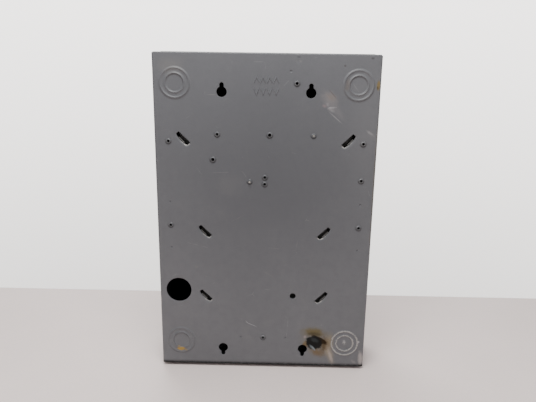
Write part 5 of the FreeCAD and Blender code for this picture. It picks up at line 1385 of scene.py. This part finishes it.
class SlottedScrews:
    """Slotted round-head screws, put on their points by a geometry node tree."""

    def __init__(self, finishes: Finishes) -> None:
        """Keeps the finishes.

        Args:
            finishes: the finishes to pick from.
        """
        self.finishes = finishes

    def head_mesh(self) -> bpy.types.Mesh:
        """A screw head of radius 1 and height 1 on the plane Z = 0, with a slot along X."""
        count = 28
        profile = ((1.0, -0.12), (1.0, 0.18), (0.97, 0.42), (0.88, 0.68), (0.72, 0.88), (0.5, 1.0))
        head = bpy.data.meshes.new("screw_head_blank")
        with editing(head) as work:
            turns = [2 * math.pi * (i + 0.5) / count for i in range(count)]
            rings = [[work.verts.new((radius * math.cos(t), radius * math.sin(t), height)) for t in turns]
                     for radius, height in profile]
            for lower, upper in zip(rings, rings[1:]):
                for i in range(count):
                    j = (i + 1) % count
                    work.faces.new((lower[i], lower[j], upper[j], upper[i]))
            work.faces.new(rings[-1])
            work.faces.new(rings[0][::-1])
        saw_mesh = bpy.data.meshes.new("screw_slot_tool")
        with editing(saw_mesh) as work:
            bmesh.ops.create_cube(work, size=1.0)
            long, wide, deep, middle = 2.4, 0.26, 0.9, 0.88
            for corner in work.verts:
                corner.co = Vector((corner.co.x * long, corner.co.y * wide, corner.co.z * deep + middle))
        blank, tool = linked("screw_head_blank", head), linked("screw_slot_tool", saw_mesh)
        saw = blank.modifiers.new("slot", "BOOLEAN")
        saw.operation, saw.solver, saw.object = "DIFFERENCE", "EXACT", tool
        cut = applied(blank, "screw_head")
        bpy.data.objects.remove(tool)
        smooth(cut, 30.0)
        return cut

    def tree(self, head: bpy.types.Object, material: bpy.types.Material) -> bpy.types.NodeTree:
        """The node tree that puts a head on each point.

        Args:
            head: the object with the head's mesh.
            material: the screws' finish.

        Returns:
            A geometry node group with a radius, a height, a turn and a seed.
        """
        group = bpy.data.node_groups.new("screws_on_points", "GeometryNodeTree")
        face = group.interface
        face.new_socket("Geometry", in_out="INPUT", socket_type="NodeSocketGeometry")
        for name, value in (("Radius", 0.004), ("Height", 0.0024)):
            face.new_socket(name, in_out="INPUT", socket_type="NodeSocketFloat").default_value = value
        face.new_socket("Facing", in_out="INPUT", socket_type="NodeSocketVector")
        face.new_socket("Seed", in_out="INPUT", socket_type="NodeSocketInt")
        face.new_socket("Geometry", in_out="OUTPUT", socket_type="NodeSocketGeometry")
        net = Graph(group)
        given = net.add("NodeGroupInput").outputs
        shape = net.add("GeometryNodeObjectInfo", {"Object": head}).outputs["Geometry"]
        turn = net.add("FunctionNodeRandomValue", {3: math.pi, "Seed": given["Seed"]}, data_type="FLOAT")
        spin = net.add("ShaderNodeCombineXYZ", {"Z": turn.outputs[1]})
        own = net.add("FunctionNodeEulerToRotation", {0: spin.outputs[0]}).outputs[0]
        facing = net.add("FunctionNodeEulerToRotation", {0: given["Facing"]}).outputs[0]
        joined = net.add("FunctionNodeRotateRotation", {0: facing, 1: own}, rotation_space="LOCAL").outputs[0]
        radius = given["Radius"]
        size = net.add("ShaderNodeCombineXYZ", {"X": radius, "Y": radius, "Z": given["Height"]}).outputs[0]
        spread = net.add("GeometryNodeInstanceOnPoints", {"Points": given["Geometry"], "Instance": shape,
                                                          "Rotation": joined, "Scale": size})
        real = net.add("GeometryNodeRealizeInstances", {0: spread.outputs[0]})
        dress = net.add("GeometryNodeSetMaterial", {"Geometry": real.outputs[0], "Material": material})
        net.add("NodeGroupOutput", {0: dress.outputs[0]})
        return group

    def build(self, name: str, replaced: Sequence[str], points_mm: Sequence[tuple[float, float, float]],
              radius: float, height: float, facing: tuple[float, float, float], slot: Slot,
              seed: int) -> bpy.types.Object:
        """Puts screws on points.

        Args:
            name: the piece's name.
            replaced: CAD nodes that the screws stand for.
            points_mm: where the undersides of the heads sit.
            radius: the heads' radius in millimetres.
            height: the heads' height in millimetres.
            facing: the turn, as XYZ angles, from +Z to the way the heads face.
            slot: the finish.
            seed: the seed of the slots' directions.

        Returns:
            The screws as one plain mesh that rides on the cabinet.
        """
        head = linked("screw_head", self.head_mesh())
        cloud = bpy.data.meshes.new(name)
        cloud.from_pydata([tuple(c * MM for c in p) for p in points_mm], [], [])
        raw = linked(name + "_points", cloud)
        modifier = raw.modifiers.new("screws", "NODES")
        modifier.node_group = self.tree(head, self.finishes[slot])
        ids = {item.name: item.identifier for item in modifier.node_group.interface.items_tree
               if item.in_out == "INPUT"}
        given = {"Radius": radius * MM, "Height": height * MM, "Facing": facing, "Seed": seed}
        for key, value in given.items():
            modifier[ids[key]] = value
        made = applied(raw, name)
        bpy.data.objects.remove(head)
        smooth(made, 30.0)
        return place(linked(name, made), "cabinet", slot, replaced)


# ---------------------------------------------------------------- the room


@dataclass
class Studio:
    """The table, the soft light and the camera."""

    floor_color: Color = (0.93, 0.81, 0.78)
    wall_low: Color = (0.52, 0.505, 0.49)
    wall_high: Color = (1.0, 0.965, 0.94)
    wall_light: float = 3.4
    ambient_low: float = 0.16
    ambient_high: float = 1.22
    table_back: float = -0.321
    table_front: float = 2.6
    table_side: float = 3.0
    lens: float = 33.58
    eye: tuple[float, float, float] = (-0.015266, 0.809845, 0.234973)
    look: tuple[float, float, float] = (1.32834209, -0.01501832, -3.12556851)

    def build_floor(self) -> None:
        """A plain pale table top that ends behind the object."""
        low = CAD_BOX[0].z
        mesh = bpy.data.meshes.new("table_top")
        x, far, near = self.table_side, self.table_back, self.table_front
        mesh.from_pydata([(-x, far, low), (x, far, low), (x, near, low), (-x, near, low)], [], [(0, 1, 2, 3)])
        floor = linked("table_top", mesh)
        mix = Recipe("table_surface")
        clouds, specks = mix.noise(160.0, 3.0, 0.5), mix.noise(2.5, 4.0, 0.7)
        color = mix.tint(self.floor_color, clouds, 0.3, 0.7, 0.5, scaled(self.floor_color, 1.07))
        color = mix.tint(color, specks, 0.4, 0.7, 0.3, scaled(self.floor_color, 0.86))
        mesh.materials.append(mix.finish(Base_Color=color, Roughness=0.55, Specular_IOR_Level=0.3))

    def build_world(self) -> None:
        """A white room: brighter above than near the table."""
        world = bpy.data.worlds.new("white_room")
        world.use_nodes = True
        bpy.context.scene.world = world
        world.node_tree.nodes.clear()
        mix = Graph(world.node_tree)
        sight = mix.add("ShaderNodeTexCoord").outputs["Generated"]
        up = mix.add("ShaderNodeSeparateXYZ", {0: sight}).outputs["Z"]
        glow = mix.add("ShaderNodeMapRange", {"Value": up, "From Min": -0.1, "To Min": self.ambient_low,
                                              "To Max": self.ambient_high})
        ambient = mix.add("ShaderNodeBackground", {"Strength": glow.outputs["Result"]})
        rise = mix.add("ShaderNodeMapRange", {"Value": up, "From Min": -0.42, "From Max": 0.12})
        wall = mix.blend(rise.outputs["Result"], self.wall_low, self.wall_high)
        backdrop = mix.add("ShaderNodeBackground", {"Color": wall, "Strength": self.wall_light})
        seen = mix.add("ShaderNodeLightPath").outputs["Is Camera Ray"]
        chosen = mix.add("ShaderNodeMixShader", {0: seen, 1: ambient.outputs[0], 2: backdrop.outputs[0]})
        mix.add("ShaderNodeOutputWorld", {"Surface": chosen.outputs[0]})

    def lamp(self, name: str, spot: tuple[float, float, float], size: float, power: float,
             color: Color) -> None:
        """A square soft lamp that looks at the middle of the object."""
        light = bpy.data.lights.new(name, "AREA")
        light.size, light.energy, light.color = size, power, color
        obj = linked(name, light)
        obj.location = spot
        obj.rotation_euler = (-Vector(spot)).to_track_quat("-Z", "Y").to_euler()

    def build_camera(self) -> None:
        """The camera behind the object, a little above its middle."""
        data = bpy.data.cameras.new("camera")
        data.lens, data.sensor_width = self.lens, 36.0
        data.clip_start, data.clip_end = 0.01, 50.0
        camera = linked("camera", data)
        camera.location, camera.rotation_euler = self.eye, self.look
        bpy.context.scene.camera = camera

    def build(self) -> None:
        """Sets the stage."""
        self.build_floor()
        self.build_world()
        self.lamp("ceiling_lamp", (0.05, 0.37, 0.88), 0.42, 8.6, (1.0, 0.985, 0.96))
        self.lamp("front_lamp", (0.5, -1.3, 1.3), 1.2, 22.0, (1.0, 0.99, 0.97))
        self.build_camera()


# ---------------------------------------------------------------- the object

SHEET_NODES = ("front_cover", "door", "deadfront", "interior_pan", "main_bracket", "filler_plates",
               "latch_retainer")
BREAKER_NODES = tuple(f"{kind}_{part}_{i}" for part in ("case", "toggle")
                      for kind, count in (("branch", 8), ("double", 2)) for i in range(1, count + 1))
MOULDED_NODES = ("insulating_base", "main_breaker_base", "main_breaker_cover", "main_breaker_handle",
                 "door_latch", *BREAKER_NODES)
MACHINED_NODES = ("bus_bar_left", "bus_bar_right", "neutral_strap", "neutral_lug", "main_line_terminals",
                  "pan_screw", "bracket_screw", "main_load_straps")


def screw_sets() -> list[tuple]:
    """The sets of slotted screws: name, nodes replaced, points, radius, height, facing, slot and seed."""
    front = (math.pi / 2, 0.0, 0.0)
    cover = [(x, -96.55, z) for x in (-173.0, 173.0) for z in COVER_SCREW_HEIGHTS]
    pitch, lowest = 9.5, -141.2
    neutral = [(x, -42.1, lowest + pitch * i) for x in (-118.0, 118.0) for i in range(16)]
    return [
        ("cover_screw_heads", ["cover_screws"], cover, 4.2, 2.4, front, Slot.ZINC_PLATE, 3),
        ("neutral_clamp_screws", ["neutral_bar_screws"], neutral, 3.4, 2.0, front, Slot.ZINC_PLATE, 7),
    ]


def dress_nodes(finishes: Finishes) -> None:
    """Gives every CAD node that still shows the finish of its slot."""
    for name, obj in frame["nodes"].items():
        slots = obj.data.materials
        material = finishes.for_node(name)
        if not slots:
            slots.append(material)
        for i in range(len(slots)):
            slots[i] = material


def main() -> None:
    """Builds the load center and its room."""
    logging.basicConfig(level=logging.INFO, format="%(message)s")
    finishes = Finishes()
    dress_nodes(finishes)
    Enclosure(finishes).build()
    log.info("enclosure built")
    eased = {Edge.SHEET: SHEET_NODES, Edge.MOULDED: MOULDED_NODES, Edge.MACHINED: MACHINED_NODES}
    for edge, names in eased.items():
        for name in names:
            Refined(name, edge, finishes).build()
            log.info("eased %s", name)
    screws = SlottedScrews(finishes)
    for set_of in screw_sets():
        screws.build(*set_of)
        log.info("screws %s", set_of[0])
    Studio().build()
    log.info("studio built")


if __name__ == "__main__":
    main()
